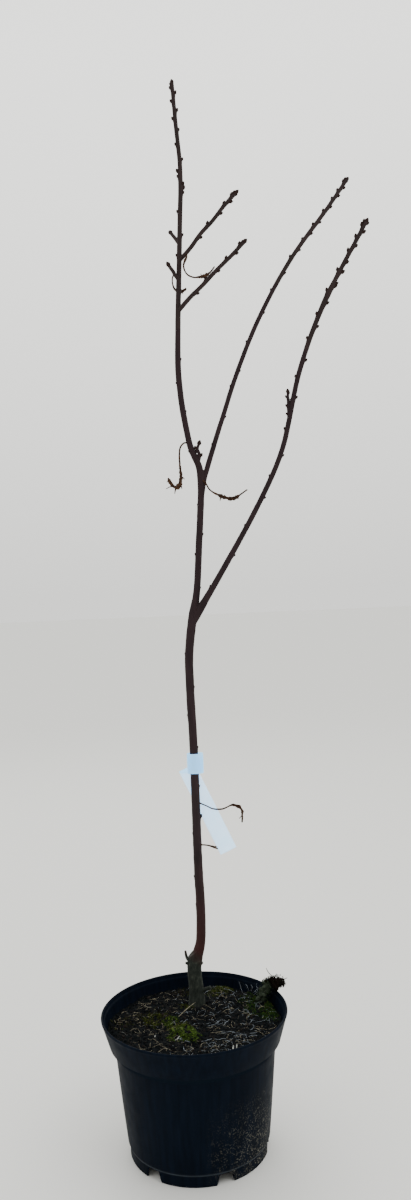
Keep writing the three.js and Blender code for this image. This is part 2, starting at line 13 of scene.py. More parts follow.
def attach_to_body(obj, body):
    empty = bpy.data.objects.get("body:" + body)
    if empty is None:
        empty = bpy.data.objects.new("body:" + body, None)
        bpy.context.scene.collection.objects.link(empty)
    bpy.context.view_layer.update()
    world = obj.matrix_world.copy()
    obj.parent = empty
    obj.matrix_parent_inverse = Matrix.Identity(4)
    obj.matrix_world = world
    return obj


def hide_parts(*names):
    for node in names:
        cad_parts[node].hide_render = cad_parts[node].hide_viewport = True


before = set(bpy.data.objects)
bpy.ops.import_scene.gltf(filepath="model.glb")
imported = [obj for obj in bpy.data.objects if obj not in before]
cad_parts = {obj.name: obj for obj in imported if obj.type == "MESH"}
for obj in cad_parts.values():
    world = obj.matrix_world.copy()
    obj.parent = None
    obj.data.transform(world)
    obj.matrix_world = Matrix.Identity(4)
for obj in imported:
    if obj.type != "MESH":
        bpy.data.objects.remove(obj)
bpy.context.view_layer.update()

MM = 0.001
WORD = 0xFFFFFFFF
TURN = 2 * math.pi
# Further off than anything here, in millimetres
FAR = 1e6

# Pot and compost
POT_HEIGHT, RIM_RADIUS = 201, 137.5
BAND_FOOT, BAND_FOOT_RADIUS = 161, 126
WALL_TOP_RADIUS, WALL_FOOT_RADIUS = 118, 105
STEP_HEIGHT, FOOT_RADIUS, FOOT_HEIGHT, SHEET = 9, 102, 17, 2.2
PAD_RADIUS, LUGS, NOTCH_TOP, NOTCH_FOOT, FRONT_LUG_TURN = 22, 6, 17, 27, -8.5
SOIL_LEVEL, STEM_X, STEM_Y, STEM_LEVEL = 180, 3, 60, 184
FLAT_RADIUS, MOUND_RADIUS, SOIL_WAVE = 18, 75, 1.6
# Moss cushions in the compost's surface: x, y, radius, height
CUSHIONS = [
    (-21, -29, 24, 6), (-4, -46, 20, 6), (-36, 13, 22, 4), (-88, 12, 24, 3), (42, 104, 20, 4),
    (106, 48, 22, 5),
]
# Moss leaves: x, y, radius, material, count
MOSS = [
    (-16, -32, 18, "moss_bright", 2100), (-5, -44, 16, "moss_bright", 1500),
    (-28, -46, 12, "moss_bright", 500),
    (-36, 4, 13, "moss_bright", 700), (-58, 14, 20, "moss_olive", 1100), (-24, -12, 17, "moss_olive", 900),
    (-12, 48, 12, "moss_olive", 300),
    (-85, 12, 24, "moss_brown", 500), (-112, 2, 18, "moss_brown", 260), (-60, 30, 22, "moss_brown", 260),
    (40, 102, 17, "moss_olive", 800), (52, 112, 14, "moss_olive", 420), (26, 90, 12, "moss_olive", 260),
    (99, 84, 20, "moss_dark", 1100), (108, 60, 22, "moss_dark", 1500), (117, 36, 20, "moss_dark", 1300),
    (98, 36, 24, "moss_dark", 1200), (116, 10, 18, "moss_dark", 700), (84, 64, 18, "moss_dark", 600),
    (97, 90, 9, "moss_bright", 160), (-17, 108, 22, "moss_brown", 260),
]
# The old clump at the wall: its pale stalk and its dark crust, as balls
CLUMP_STALK = [(103, 56, 184, 8.5), (105.5, 57, 194, 9.5), (109.5, 57, 203, 9), (114, 57, 209, 8)]
CLUMP_CRUST = [
    (119, 56, 215, 6.5), (124.5, 54, 213, 8.5), (130, 53, 215.5, 8), (134, 51, 212.5, 5), (128, 54, 210, 6),
    (110, 57, 213, 4.5),
]
# How finely the pot and the compost are made, and how far a corner of the pot is rounded off
POT_COLUMNS, SOIL_COLUMNS, SOIL_ROWS = 360, 340, 118
CORNER, CORNER_STEPS = 0.9, 4
# Numbers of the small pieces, the share of pale chips, the room kept free round the stem, and how much
# thinner a strand is at its ends
CRUMBS, FIBRES, CHIPS, THREADS, CLUMP_LEAVES, LUMP_BALLS = 2400, 1450, 240, 26, 2000, 9
PALE_SHARE, STEM_ROOM, STRAND_TAPER = 0.02, 15, 0.45
CRUMB_SEED, LITTER_SEED, MOSS_SEED, CLUMP_SEED = 5, 8, 12, 21

# Wood, as in the CAD source: way points and thickness as (height, radius)
STOCK_PATH = [(3, 60, 168), (3, 60, 200), (1, 60, 240), (4, 58, 270)]
STOCK_RADII = [(168, 16), (184, 13.2), (200, 11.3), (240, 10.7), (256, 10.4), (270, 9)]
HEEL_AT, HEEL_SLOPE = (-9, 254), 42
SNAGS = [
    ([(6, 58, 202), (14, 55, 205), (25, 50, 211)], 2.6, 1.9),
    ([(-5, 58, 248), (-9.5, 57, 255), (-11.5, 54, 267)], 2, 1.1),
    ([(-5, 58, 244), (-9, 57, 246), (-12, 56, 248)], 1.8, 1.2),
    ([(6, 58, 243), (11, 58, 244.5), (14.5, 57, 247)], 1.8, 1.2),
]
STEM_PATH = [
    (2, 60, 226), (5, 58, 252), (12.2, 57, 278), (14.8, 56, 330), (13.8, 54.5, 390), (14.1, 52, 500),
    (14.3, 49.5, 590), (12.8, 48, 670), (13.6, 46, 722), (20, 45, 770), (28.8, 45, 815), (35.2, 45, 885),
    (42.4, 50, 985), (40.2, 50, 1008), (34.4, 49.5, 1022), (28.9, 48.5, 1037), (24, 47, 1062),
    (18.6, 44.5, 1100), (15.2, 43, 1150), (17.6, 41, 1220), (22.6, 38.5, 1300), (26.2, 36, 1360),
    (30.8, 35, 1450), (26.8, 33, 1520), (23.8, 30, 1578),
]
STEM_RADII = [
    (226, 7), (250, 8.6), (278, 6.7), (420, 6), (590, 5.7), (740, 5.85), (786, 6.4), (806, 4.9),
    (830, 4.5), (960, 4.45), (985, 4.9), (1006, 4.5), (1022, 4.1), (1172, 3.9), (1206, 3.55),
    (1340, 3.15), (1480, 2.7), (1578, 2.2),
]
STEM_SEED = 18649
FIRST_FORK, SECOND_FORK, LEFT_MASS, LOWEST_BUD = 790, 991, 1216, 290
HIGH_PATH = [
    (43.5, 50, 966), (45.5, 50.6, 978), (48.3, 52, 991), (52.6, 53.8, 1004), (62.5, 60, 1034),
    (83.6, 71.4, 1094), (103, 80.5, 1148), (143, 99, 1240), (199.5, 120, 1339), (265.5, 142, 1428),
    (300, 154, 1477),
]
HIGH_RADII = [(966, 3.2), (1006, 3.3), (1035, 3.1), (1090, 2.9), (1185, 2.75), (1400, 2.6), (1477, 2.2)]
HIGH_MASS, HIGH_SEED = 1300, 4838
LOW_PATH = [
    (20, 46, 768), (38, 40, 798), (61, 30, 834), (129, -2, 948), (161, -25, 1016), (187.6, -60, 1122),
    (220, -90, 1203), (277.5, -120, 1302),
]
LOW_RADII = [
    (768, 5), (798, 5.1), (825, 4.3), (900, 3.75), (960, 3.5), (1060, 3.4), (1150, 3.1), (1185, 3.05),
    (1216, 3.6), (1230, 2.8), (1302, 2.3),
]
LOW_MASS, LOW_SEED = 1150, 6895
# Larger buds that stand among the seeded ones: height, heading in degrees and length
STEM_EYES, UPPER_EYES = [(380, 178, 3.8), (472, 2, 6.2), (519, 4, 4)], [(579, 5, 3.8)]
LOW_EYES = [(1226, -4, 5.6), (1243, 2, 6.2)]
CROWN_EYES = [(1423, -5, 6.6), (1428, 30, 6), (1448, 183, 6.4)]
# Short shoots: height on their limb, heading, reach, rise, root radius and seed
LEFT_SHOOTS = [
    (1316, -35.5, 105.5, 72, 2.6, 7359), (1241, -33, 119, 76, 2.7, 5598),
    (1341, 127, 21, 23, 2.4, 81), (1287, 227, 20, 18, 2.4, 91),
]
# Seeds of those that bear only their end bud
SMOOTH_SHOOTS = (81, 91)
# Spurs: way points, root radius and seed; the low one is a little slimmer here than in the CAD source
FORK_SPUR = [(39.5, 50, 1010), (41.6, 48, 1026), (39.4, 47, 1034), (41.6, 46, 1040.5)], 1.9, 68
LOW_SPUR = [(171.8, -38.5, 1055), (170.9, -43.5, 1070), (170.6, -47, 1083), (170.3, -50, 1093.5)], 1.6, 131
# Buds that are listed for a spur, by its seed
SPUR_EYES = {131: [(1064, 182, 3.8), (1075, 176, 4), (1087, 186, 4)]}
SHOOT_STEPS, SHOOT_STRAY, SHOOT_TAPER = 5, 0.045, 0.78
TIP_GAP, GAP_GROWTH, SHOOT_GROWTH, OLD_GAP, OLD_AT, GAP_SPREAD = 7, 0.12, 0.3, 43, 420, 0.8
BUD_LENGTH, OLD_BUD_LENGTH, BUD_SLIMNESS, BUD_SUNK = 5.8, 3.6, 0.74, 0.8
BUD_SPLAY, TURN_SPREAD, FORK_ROOM, BOUGH_ROOM, END_ROOM, TIP_BUD = 36, 70, 20, 45, 4, 1.15
# A scaled bud against the plain solid: how much plumper it is, and how much further out it stands
BUD_PLUMP, BUD_OUT = 1.15, 0.6
# Its scales as (share of the length, heading), and how far each stands out
BUD_SCALES, SCALE_STEP = ((0.62, 0.0), (0.8, 2.2), (1.0, 4.3)), 0.075
BUD_ROWS, BUD_SIDES, LINE_STEPS = 12, 14, 600
# Depth of the bark on thin wood, on thick wood, and on the high and the low right bough, and the radius
# from which wood is thick
THIN_BARK, THICK_BARK, HIGH_BARK, LOW_BARK = 0.68, 0.72, 0.85, 0.4
THICK_WOOD = 5
# Relief of young bark: pores, cushions under the buds, ribs below them and slow waves
PORES_PER_MM, PORE_LENGTH, PORE_WIDTH, PORE_RISE, PORE_REACH = 0.6, 0.75, 0.42, 0.07, 2.2
CUSHION, RIB, WAVE = 0.12, 0.02, 0.006
# Size of the facets of the skins
TRUNK_VOXEL, BOUGH_VOXEL, CLUMP_VOXEL = 0.53, 0.79, 0.9
# Seeds of the relief on the trunk, the upper stem and the right boughs, and on the three limbs' twigs
TRUNK_RELIEF, UPPER_RELIEF, HIGH_RELIEF, LOW_RELIEF = 71, 72, 73, 74
LEFT_TWIG, HIGH_TWIG, LOW_TWIG = 181, 182, 183
# Ends of the rootstock, and how far the wood of a mass starts inside its limb
STOCK_FOOT, STOCK_TOP, MASS_SUNK = 176, 270, 2
# Tips by their line's seed: the end bud against the others, and the buds beside it as (turn, length)
TIPS = {
    68: (1.25, []), 81: (1.25, []), 91: (1.25, []), 131: (1, [(-5, 3.8)]),
    LEFT_TWIG: (1.15, [(200, 4.6)]), HIGH_TWIG: (1.15, [(170, 5.6), (-40, 4)]),
    LOW_TWIG: (1.05, [(175, 5.6), (-20, 5)]), 7359: (1.15, [(150, 5), (-30, 3.8)]), 5598: (1.2, [(170, 4)]),
}

# Withered leaves: way points, half widths as (share of the length, width), twist, and the blade's
# points as (share of the length, tip)
DRY_LEAVES = {
    "dry_leaf_fork_right": (
        [(42, 48, 990), (49.5, 45, 981), (55, 43, 971), (67, 38, 962), (81, 32, 956), (91, 28, 955),
         (111, 20, 966)],
        [(0, 0.7), (0.3, 0.85), (0.45, 1.3), (0.5, 2.6), (0.56, 1.5), (0.62, 1.6), (0.7, 2.7), (0.78, 2),
         (0.84, 1), (1, 0.5)],
        300,
        [(0.5, (70, 37, 952.5)), (0.72, (98, 25, 953.5)), (0.6, (77, 30, 960))],
    ),
    "dry_leaf_fork_left": (
        [(27.5, 48.5, 1043), (19.5, 47, 1043.5), (13.5, 45.5, 1037), (11.5, 44, 1025), (11.7, 42.5, 1010),
         (12.9, 41, 995), (12, 39.5, 984), (5.3, 38, 975.5), (-1.5, 36.5, 980), (-7, 35, 990)],
        [(0, 0.5), (0.25, 0.7), (0.38, 1.1), (0.5, 1.4), (0.57, 1.8), (0.65, 2.6), (0.73, 3.1), (0.79, 3.3),
         (0.85, 1.6), (0.91, 1.8), (0.96, 1.7), (1, 0.5)],
        150,
        [(0.84, (-10.5, 37, 974)), (0.81, (2.2, 36, 966)), (0.72, (13.5, 39, 973)), (0.62, (18, 42, 988)),
         (0.93, (-9, 34, 984))],
    ),
    "dry_leaf_stem_upper": (
        [(13, 52, 497), (30, 44, 491), (40, 40, 487), (54, 36, 487), (72, 30, 494), (83, 27, 487),
         (83, 26, 468)],
        [(0, 0.5), (0.3, 0.5), (0.58, 0.7), (0.66, 1.4), (0.74, 1.7), (0.8, 1), (0.86, 1.7), (0.91, 1.3),
         (1, 0.5)],
        500,
        [(0.7, (77, 28, 489)), (0.9, (79, 25, 474))],
    ),
    "dry_leaf_stem_lower": (
        [(13, 53, 430), (30, 46, 430), (39, 42, 428), (45, 40, 426)],
        [(0, 0.4), (0.5, 0.6), (0.75, 1.2), (1, 0.4)],
        200,
        [(0.8, (44, 40, 429.5))],
    ),
    "dry_leaf_twig_right": (
        [(35.2, 29.8, 1325.4), (34.6, 29, 1317.4), (31.4, 28, 1311), (30, 28, 1304.5), (31.5, 27, 1297),
         (36, 25.5, 1290), (44.8, 24, 1285.6), (54, 22, 1285.5), (62.8, 20, 1286.3), (69, 18, 1290),
         (75.9, 17, 1298)],
        [(0, 0.5), (0.08, 0.9), (0.16, 1.3), (0.28, 1.2), (0.36, 0.6), (0.6, 0.55), (0.67, 1.3), (0.72, 2.4),
         (0.8, 2.6), (0.86, 1.4), (0.91, 0.9), (1, 0.5)],
        300,
        [(0.7, (55, 20, 1289.5)), (0.78, (65, 19, 1280))],
    ),
    "dry_leaf_twig_left": (
        [(16.5, 33.1, 1294.2), (13.2, 33.2, 1291.5), (12, 34.5, 1285), (12.6, 37, 1279.5),
         (15.2, 41, 1274.7), (21.3, 45, 1272.6), (27.4, 45.5, 1272.3), (32.5, 44, 1276.5)],
        [(0, 0.45), (0.3, 0.6), (0.55, 0.9), (0.68, 1.8), (0.9, 1.9), (1, 0.9)],
        300,
        [(0.8, (27, 44, 1268))],
    ),
}
LEAF_SIDES, SPIKE_SIDES, FIRST_LEAF_SEED = 24, 8, 200

# Label: its loop's half width and half depth, and its tail's way and lean
STRIP, LABEL_SHEET, LOOP, LOOP_HEIGHT, LOOP_SHIFT = 26.7, 0.7, (12.2, 8.6), 30, 1.5
LABEL_FOOT, LEAN, TAIL, TAIL_SHIFT, TAIL_BACK, TAIL_TOP, SAG = 540.5, 24.3, 143, -12, 4, 6.5, 2
LOOP_COLUMNS, LOOP_ROWS, TAIL_COLUMNS, TAIL_ROWS = 96, 12, 15, 60
# Where the trunk's skin ends and the forks' skin starts, both inside the label's loop
TRUNK_TOP, FORKS_FOOT = LABEL_FOOT + 12, LABEL_FOOT + 11

# Floor, lamps and camera: metres, degrees, and millimetres for the lens
FLOOR_SIZE, LAMPS_AIM = 60, (0.05, 0, 0.7)
LENS, CAMERA_AT, CAMERA_DIP, CAMERA_ROLL = 27.96, (0.0419, -1.371, 0.819), 0.61, -2.39


# Numbers and noise

# The primes of the hash, for the three axes and the seed
HASH_X, HASH_Y, HASH_Z, HASH_SEED = (
    np.uint64(prime) for prime in (374761393, 668265263, 2246822519, 3266489917)
)
LONG_WORD = np.uint64(WORD)


def seeded(seed):
    """The CAD source's own stream of random numbers."""
    state = [seed]

    def draw():
        state[0] = (state[0] + 0x6D2B79F5) & WORD
        mixed = ((state[0] ^ state[0] >> 15) * (1 | state[0])) & WORD
        mixed = (mixed + ((mixed ^ mixed >> 7) * (61 | mixed) & WORD)) & WORD ^ mixed
        return (mixed ^ mixed >> 14) / (WORD + 1)

    return draw


def smoothstep(value, low, high):
    share = np.clip((value - low) / (high - low), 0, 1)
    return share * share * (3 - 2 * share)


def hashed(cells, seed):
    """A number from 0 to 1 for each whole-number cell."""
    i, j, k = (cells[..., axis].astype(np.int64).astype(np.uint64) for axis in range(3))
    mixed = (i * HASH_X + j * HASH_Y + k * HASH_Z) & LONG_WORD
    mixed = (mixed + np.uint64(seed) * HASH_SEED) & LONG_WORD
    for shift, prime in ((15, HASH_Z), (13, HASH_SEED)):
        mixed = ((mixed ^ (mixed >> np.uint64(shift))) * prime) & LONG_WORD
    return ((mixed ^ (mixed >> np.uint64(16))) & LONG_WORD).astype(float) / WORD


def noise(points, size, seed):
    """Smooth noise from -1 to 1 with lumps of about that size."""
    scaled = points / size
    cell = np.floor(scaled)
    part = scaled - cell
    part = part * part * (3 - 2 * part)
    total = 0
    for corner in np.ndindex(2, 2, 2):
        step = np.array(corner)
        weight = np.prod(np.where(step == 1, part, 1 - part), axis=-1)
        total = total + weight * hashed(cell + step, seed)
    return 2 * total - 1


def dots(points, size, radius, share, seed):
    """1 at scattered points and 0 beyond their radius; only a share of the cells has one."""
    scaled = points / size
    cell = np.floor(scaled)
    far_off = 9.0
    near = np.full(len(points), far_off)
    for step in np.ndindex(3, 3, 3):
        there = cell + np.array(step) - 1
        spot = there + np.stack([hashed(there, seed + k) for k in range(3)], axis=-1)
        far = np.linalg.norm(spot - scaled, axis=-1) + far_off * (hashed(there, seed + 3) > share)
        near = np.minimum(near, far)
    return np.clip(1 - near * size / radius, 0, 1)


def around(count):
    """Evenly spaced angles of one turn."""
    return np.arange(count) * TURN / count


def unit(vector):
    return vector / np.linalg.norm(vector)


def turned(points, angle, first, second):
    """Points turned in the plane of two axes."""
    cos, sin = math.cos(angle), math.sin(angle)
    made = points.copy()
    made[..., first] = points[..., first] * cos - points[..., second] * sin
    made[..., second] = points[..., first] * sin + points[..., second] * cos
    return made


# Meshes

class Shape:
    """Points and faces that are gathered and made into one piece."""

    def __init__(self):
        self.points, self.faces, self.slots, self.count = [], [], [], 0

    def add(self, points, faces, slot=0):
        self.points.append(np.asarray(points, float))
        self.faces.extend([tuple(corner + self.count for corner in face) for face in faces])
        self.slots.extend([slot] * len(faces))
        self.count += len(points)

    def mesh(self, name):
        data = bpy.data.meshes.new(name)
        data.from_pydata((np.concatenate(self.points) * MM).tolist(), [], self.faces)
        data.polygons.foreach_set("material_index", self.slots)
        data.polygons.foreach_set("use_smooth", [True] * len(self.faces))
        data.update()
        return data


def in_scene(name, data):
    made = bpy.data.objects.new(name, data)
    bpy.context.scene.collection.objects.link(made)
    return made


def piece(name, form, materials, slot, *nodes):
    """A shape or a finished mesh as a piece that rides on the one body, in place of its CAD nodes."""
    data = form.mesh(name) if isinstance(form, Shape) else form
    made = in_scene(name, data)
    for look in materials:
        data.materials.append(MATERIALS[look])
    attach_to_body(made, "root")
    if nodes:
        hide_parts(*nodes)


def grid(rows, columns):
    """Faces of rings of points, outward for rings that are laid upwards and turn with the clock."""
    first = np.arange(rows - 1)[:, None] * columns
    here = np.arange(columns)[None, :]
    after = (here + 1) % columns
    corners = [first + here, first + columns + here, first + columns + after, first + after]
    return np.stack(corners, axis=-1).reshape(-1, 4).tolist()


def capped(rings):
    """Points and faces of a tube of rings that is closed by a point at each end."""
    rows, columns = rings.shape[:2]
    points = np.concatenate([rings.reshape(-1, 3), rings[:1].mean(1), rings[-1:].mean(1)])
    foot, top = rows * columns, rows * columns + 1
    last = (rows - 1) * columns
    ends = []
    for here in range(columns):
        after = (here + 1) % columns
        ends.append((foot, here, after))
        ends.append((top, last + after, last + here))
    return points, grid(rows, columns) + ends


class Line:
    """A limb's middle line with its thickness: a centripetal Catmull-Rom curve."""

    def __init__(self, path, radii=((0, 1),), bark_depth=THIN_BARK):
        inner = np.array(path, float)
        points = np.vstack([2 * inner[0] - inner[1], inner, 2 * inner[-1] - inner[-2]])
        span = np.sqrt(np.linalg.norm(np.diff(points, axis=0), axis=1))[:, None]
        before, here, after = span[:-2], span[1:-1], span[2:]
        p0, p1, p2, p3 = points[:-3], points[1:-2], points[2:-1], points[3:]
        start = ((p1 - p0) / before - (p2 - p0) / (before + here) + (p2 - p1) / here) * here
        end = ((p2 - p1) / here - (p3 - p1) / (here + after) + (p3 - p2) / after) * here
        self.terms = (p1, start, 3 * (p2 - p1) - 2 * start - end, 2 * (p1 - p2) + start + end)
        self.share = np.linspace(0, 1, LINE_STEPS + 1)
        places = self.raw(self.share)[0]
        steps = np.linalg.norm(np.diff(places, axis=0), axis=1)
        self.reached = np.concatenate([[0], np.cumsum(steps)])
        self.length = self.reached[-1]
        self.heights = places[:, 2]
        self.radii = np.array(radii, float)
        self.bark_depth = bark_depth

    def raw(self, share):
        spans = len(self.terms[0])
        place = np.clip(share, 0, 1) * spans
        which = np.minimum(place.astype(int), spans - 1)
        part = (place - which)[:, None]
        a, b, c, d = (term[which] for term in self.terms)
        return a + part * (b + part * (c + part * d)), b + part * (2 * c + part * 3 * d)

    def fraction(self, height):
        return float(np.interp(height, self.heights, self.reached / self.length))

    def frame(self, fraction):
        """Places, directions and two cross directions: side is to the right, front is to the viewer."""
        fraction = np.atleast_1d(np.asarray(fraction, float))
        at, along = self.raw(np.interp(fraction * self.length, self.reached, self.share))
        along = along / np.linalg.norm(along, axis=1)[:, None]
        side = np.cross((0, 1, 0), along)
        side = side / np.linalg.norm(side, axis=1)[:, None]
        return at, along, side, np.cross(side, along)

    def place(self, fraction):
        return self.frame(fraction)[0][0]

    def outward(self, fraction, turn):
        """One place, the direction along the line there, and the one out of it at a turn."""
        at, along, side, front = (part[0] for part in self.frame(fraction))
        return at, along, side * math.cos(turn) + front * math.sin(turn)

    def radius(self, fraction):
        return np.interp(self.frame(fraction)[0][:, 2], self.radii[:, 0], self.radii[:, 1])


def tapered(path, thick, thin):
    return Line(path, [(path[0][2], thick), (path[-1][2], thin)])


def spokes(side, front, sides):
    """Directions out of a line at each of its places, all the way round."""
    angle = around(sides)
    return side[:, None] * np.cos(angle)[None, :, None] + front[:, None] * np.sin(angle)[None, :, None]


def tube(line, start, end, sides, step, relief=None):
    """A limb's rings between two fractions; relief adds thickness from the distance along and the angle."""
    count = max(2, math.ceil((end - start) * line.length / step)) + 1
    fractions = np.linspace(start, end, count)
    at, _, side, front = line.frame(fractions)
    thick = np.repeat(line.radius(fractions)[:, None], sides, axis=1)
    if relief:
        thick = thick + relief(fractions[:, None] * line.length, around(sides)[None, :], thick)
    return at[:, None] + spokes(side, front, sides) * thick[..., None]


def round_line(path, fractions, thick, sides, flat=1.0):
    """Points and faces of a thin line along a path, with its thickness at each place."""
    at, _, side, front = Line(path).frame(fractions)
    return capped(at[:, None] + spokes(side, flat * front, sides) * thick[:, None, None])


def strand(path, radius, sides=5, flat=1.0):
    """A thin stalk along a path, thinner towards its ends."""
    fractions = np.linspace(0, 1, 2 * len(path) + 1)
    thick = radius * (1 - STRAND_TAPER * np.abs(2 * fractions - 1) ** 3)
    return round_line(path, fractions, thick, sides, flat)


def spike(path, thick, thin):
    """A point that is drawn out along a path."""
    share = np.linspace(0, 1, 4 * len(path))
    return round_line(path, share, thick + (thin - thick) * share, SPIKE_SIDES)


# Buds and bark

def bud_places(line, seed, growth=GAP_GROWTH):
    """Places of all the buds of a line, from its tip down, on alternate sides."""
    draw = seeded(seed)
    places = []
    down = TIP_GAP
    turn = 0 if draw() < 0.5 else 180
    while down < line.length:
        angle = turn + (draw() - 0.5) * TURN_SPREAD
        length = np.interp(down, (0, OLD_AT), (BUD_LENGTH, OLD_BUD_LENGTH))
        places.append((1 - down / line.length, math.radians(angle), length))
        gap = min(OLD_GAP, TIP_GAP + growth * down)
        down += gap * (1 + GAP_SPREAD * (draw() - 0.5))
        turn += 180
    return places


def between(line, places, low, high):
    """Those of the places that lie between two heights and clear of both."""
    heights = [line.place(place[0])[2] for place in places]
    low, high = low + BUD_LENGTH, high - BUD_LENGTH
    return [place for place, height in zip(places, heights) if low <= height <= high]


def eyes(line, sizes):
    """Places of buds that are listed one by one."""
    return [(line.fraction(height), math.radians(turn), length) for height, turn, length in sizes]


def shoot_line(parent, sizes):
    """Line of a short shoot that leaves a limb and wanders a little at its nodes."""
    height, heading, reach, rise, radius, seed = sizes
    draw = seeded(seed)
    foot = parent.place(parent.fraction(height))
    turn = math.radians(heading)
    path = []
    for i in range(SHOOT_STEPS + 1):
        share = i / SHOOT_STEPS
        stray = 0 if i in (0, SHOOT_STEPS) else (draw() - 0.5) * SHOOT_STRAY * reach
        path.append((
            foot[0] + math.cos(turn) * reach * share - math.sin(turn) * stray,
            foot[1] + math.sin(turn) * reach * share + math.cos(turn) * stray,
            foot[2] + rise * share,
        ))
    return tapered(path, radius, radius * SHOOT_TAPER)


def shoot_buds(line, foot, top, seed):
    """Places of the buds of a short shoot or spur."""
    if seed in SMOOTH_SHOOTS:
        return []
    return between(line, bud_places(line, seed + 1, SHOOT_GROWTH), foot + END_ROOM, top + BUD_LENGTH)


def bud(at, direction, length, flat, turn):
    """A pointed bud of three scales that overlap, on a narrow foot."""
    share = np.linspace(0, 1, BUD_ROWS)[:, None]
    angle = around(BUD_SIDES)[None, :]
    length = length * (1 + (BUD_PLUMP - 1) / 2)
    half = length * BUD_SLIMNESS / 2 * BUD_PLUMP
    swell = np.sin(np.pi * np.clip(share * 0.92 + 0.06, 0, 1)) ** 0.75 * (1.12 - 0.35 * share)
    scales = 0.0
    for lap, where in BUD_SCALES:
        edge = lap * (0.55 + 0.45 * np.cos(angle - where - turn))
        scales = scales + SCALE_STEP * (share < edge) * smoothstep(share, edge - 0.35, edge)
    width = half * swell * (1 + scales)
    up = (share * 1.12 - 0.25) * length
    direction = unit(direction)
    across = unit(np.cross(direction, flat))
    other = np.cross(across, direction)
    rings = np.asarray(at) + up[..., None] * direction
    rings = rings + (width * np.cos(angle))[..., None] * across + (width * np.sin(angle))[..., None] * other
    return capped(rings)


def place_buds(shape, line, places, slot=0):
    """Buds on a line: each leans out from the bark."""
    splay = math.radians(BUD_SPLAY)
    for fraction, turn, length in places:
        at, along, out = line.outward(fraction, turn)
        foot = at + out * (line.radius(fraction)[0] * BUD_SUNK + BUD_OUT)
        direction = out * math.sin(splay) + along * math.cos(splay)
        shape.add(*bud(foot, direction, length, out, turn), slot)


def tip_buds(shape, line, seed, slot=0):
    """The end bud of a line, and those pressed against its sides."""
    at, along, _, front = (part[0] for part in line.frame(1))
    plump, beside = TIPS.get(seed, (TIP_BUD, [(140, 4)]))
    shape.add(*bud(at, along, BUD_LENGTH * plump, front, seed), slot)
    for degrees, length in beside:
        turn = math.radians(degrees)
        out = line.outward(1, turn)[2]
        foot = at + out * line.radius(1)[0] * BUD_SUNK - along * 2.2
        shape.add(*bud(foot, along + 0.6 * out, length, out, turn), slot)


def young_bark(places, line, seed):
    """Relief of young bark: ribs below the buds, cushions under them, pores and a slow swelling."""
    random = np.random.default_rng(seed)
    waves = random.uniform((9, 0, 0), (60, 3, TURN), (7, 3))
    pores = random.uniform((0, 0), (line.length, TURN), (int(line.length * PORES_PER_MM), 2))

    def relief(along, angle, thick):
        total = np.where(thick < THICK_WOOD, line.bark_depth, THICK_BARK)
        for length, turns, phase in waves:
            total = total + WAVE * thick * np.sin(TURN * along / length + np.round(turns) * angle + phase)
        for fraction, turn, length in places:
            ahead = (along - fraction * line.length) / (0.62 * length)
            apart = np.angle(np.exp(1j * (angle - turn))) * thick / (0.42 * length)
            total += CUSHION * length * np.exp(-((ahead + 0.35) ** 2) - apart ** 2)
            below = np.clip(-ahead / 7, 0, 1)
            total += RIB * length * np.exp(-(apart * 1.6) ** 2) * (1 - below) * (ahead < 0)
        for where, turn in pores:
            rows = np.abs(along[:, 0] - where) < PORE_REACH
            if rows.any():
                ahead = (along[rows] - where) / PORE_LENGTH
                apart = np.angle(np.exp(1j * (angle - turn))) * thick[rows] / PORE_WIDTH
                total[rows] += PORE_RISE * np.exp(-ahead ** 2 - apart ** 2)
        return total

    return relief


# Materials

UP, RIGHT = (0, 0, 1), (1, 0, 0)


def material(name, build):
    made = bpy.data.materials.new(name)
    made.use_nodes = True
    tree = made.node_tree
    build(tree, tree.nodes["Principled BSDF"])
    return made


def linear(colour):
    """A colour given in 0 to 255 as shown on screen, as the linear values that nodes take."""
    values = [channel / 255 for channel in colour]
    return tuple(v / 12.92 if v <= 0.04045 else ((v + 0.055) / 1.055) ** 2.4 for v in values) + (1,)


def attach(tree, socket, value):
    """Links another node's output to a socket, or sets a plain value on it."""
    if isinstance(value, bpy.types.NodeSocket):
        tree.links.new(value, socket)
    else:
        socket.default_value = value


def node(tree, kind, inputs, output=0, **settings):
    """One output of a new node with these settings and inputs."""
    made = tree.nodes.new("ShaderNode" + kind)
    for name, value in settings.items():
        setattr(made, name, value)
    for key, value in inputs.items():
        attach(tree, made.inputs[key], value)
    return made.outputs[output]


def ramp(tree, source, *stops):
    """Colours at their places, as shown on screen in 0 to 255, or plain values from 0 to 1."""
    made = tree.nodes.new("ShaderNodeValToRGB")
    elements = made.color_ramp.elements
    while len(elements) < len(stops):
        elements.new(0.5)
    for element, (place, colour) in zip(elements, stops):
        element.position = place
        element.color = linear(colour) if isinstance(colour, tuple) else (colour, colour, colour, 1)
    tree.links.new(source, made.inputs["Fac"])
    return made.outputs["Color"]


def mix(tree, factor, first, second):
    return node(tree, "Mix", {0: factor, 6: first, 7: second}, 2, data_type="RGBA")


def product(tree, first, *others):
    for other in others:
        first = node(tree, "Math", {0: first, 1: other}, operation="MULTIPLY")
    return first


def grain(tree, scale, stretch=(1, 1, 1), detail=4, kind="TexNoise"):
    """Noise in object space, in lumps of one metre over the scale."""
    place = node(tree, "TexCoord", {}, "Object")
    vector = node(tree, "Mapping", {"Scale": stretch, "Vector": place})
    return node(tree, kind, {"Scale": scale, "Detail": detail, "Vector": vector})


def share_along(tree, direction, low, high):
    """0 below one place along a direction and 1 above another, in millimetres."""
    place = node(tree, "TexCoord", {}, "Object")
    along = node(tree, "VectorMath", {0: place, 1: direction}, "Value", operation="DOT_PRODUCT")
    return node(tree, "MapRange", {"From Min": low * MM, "From Max": high * MM, "Value": along})


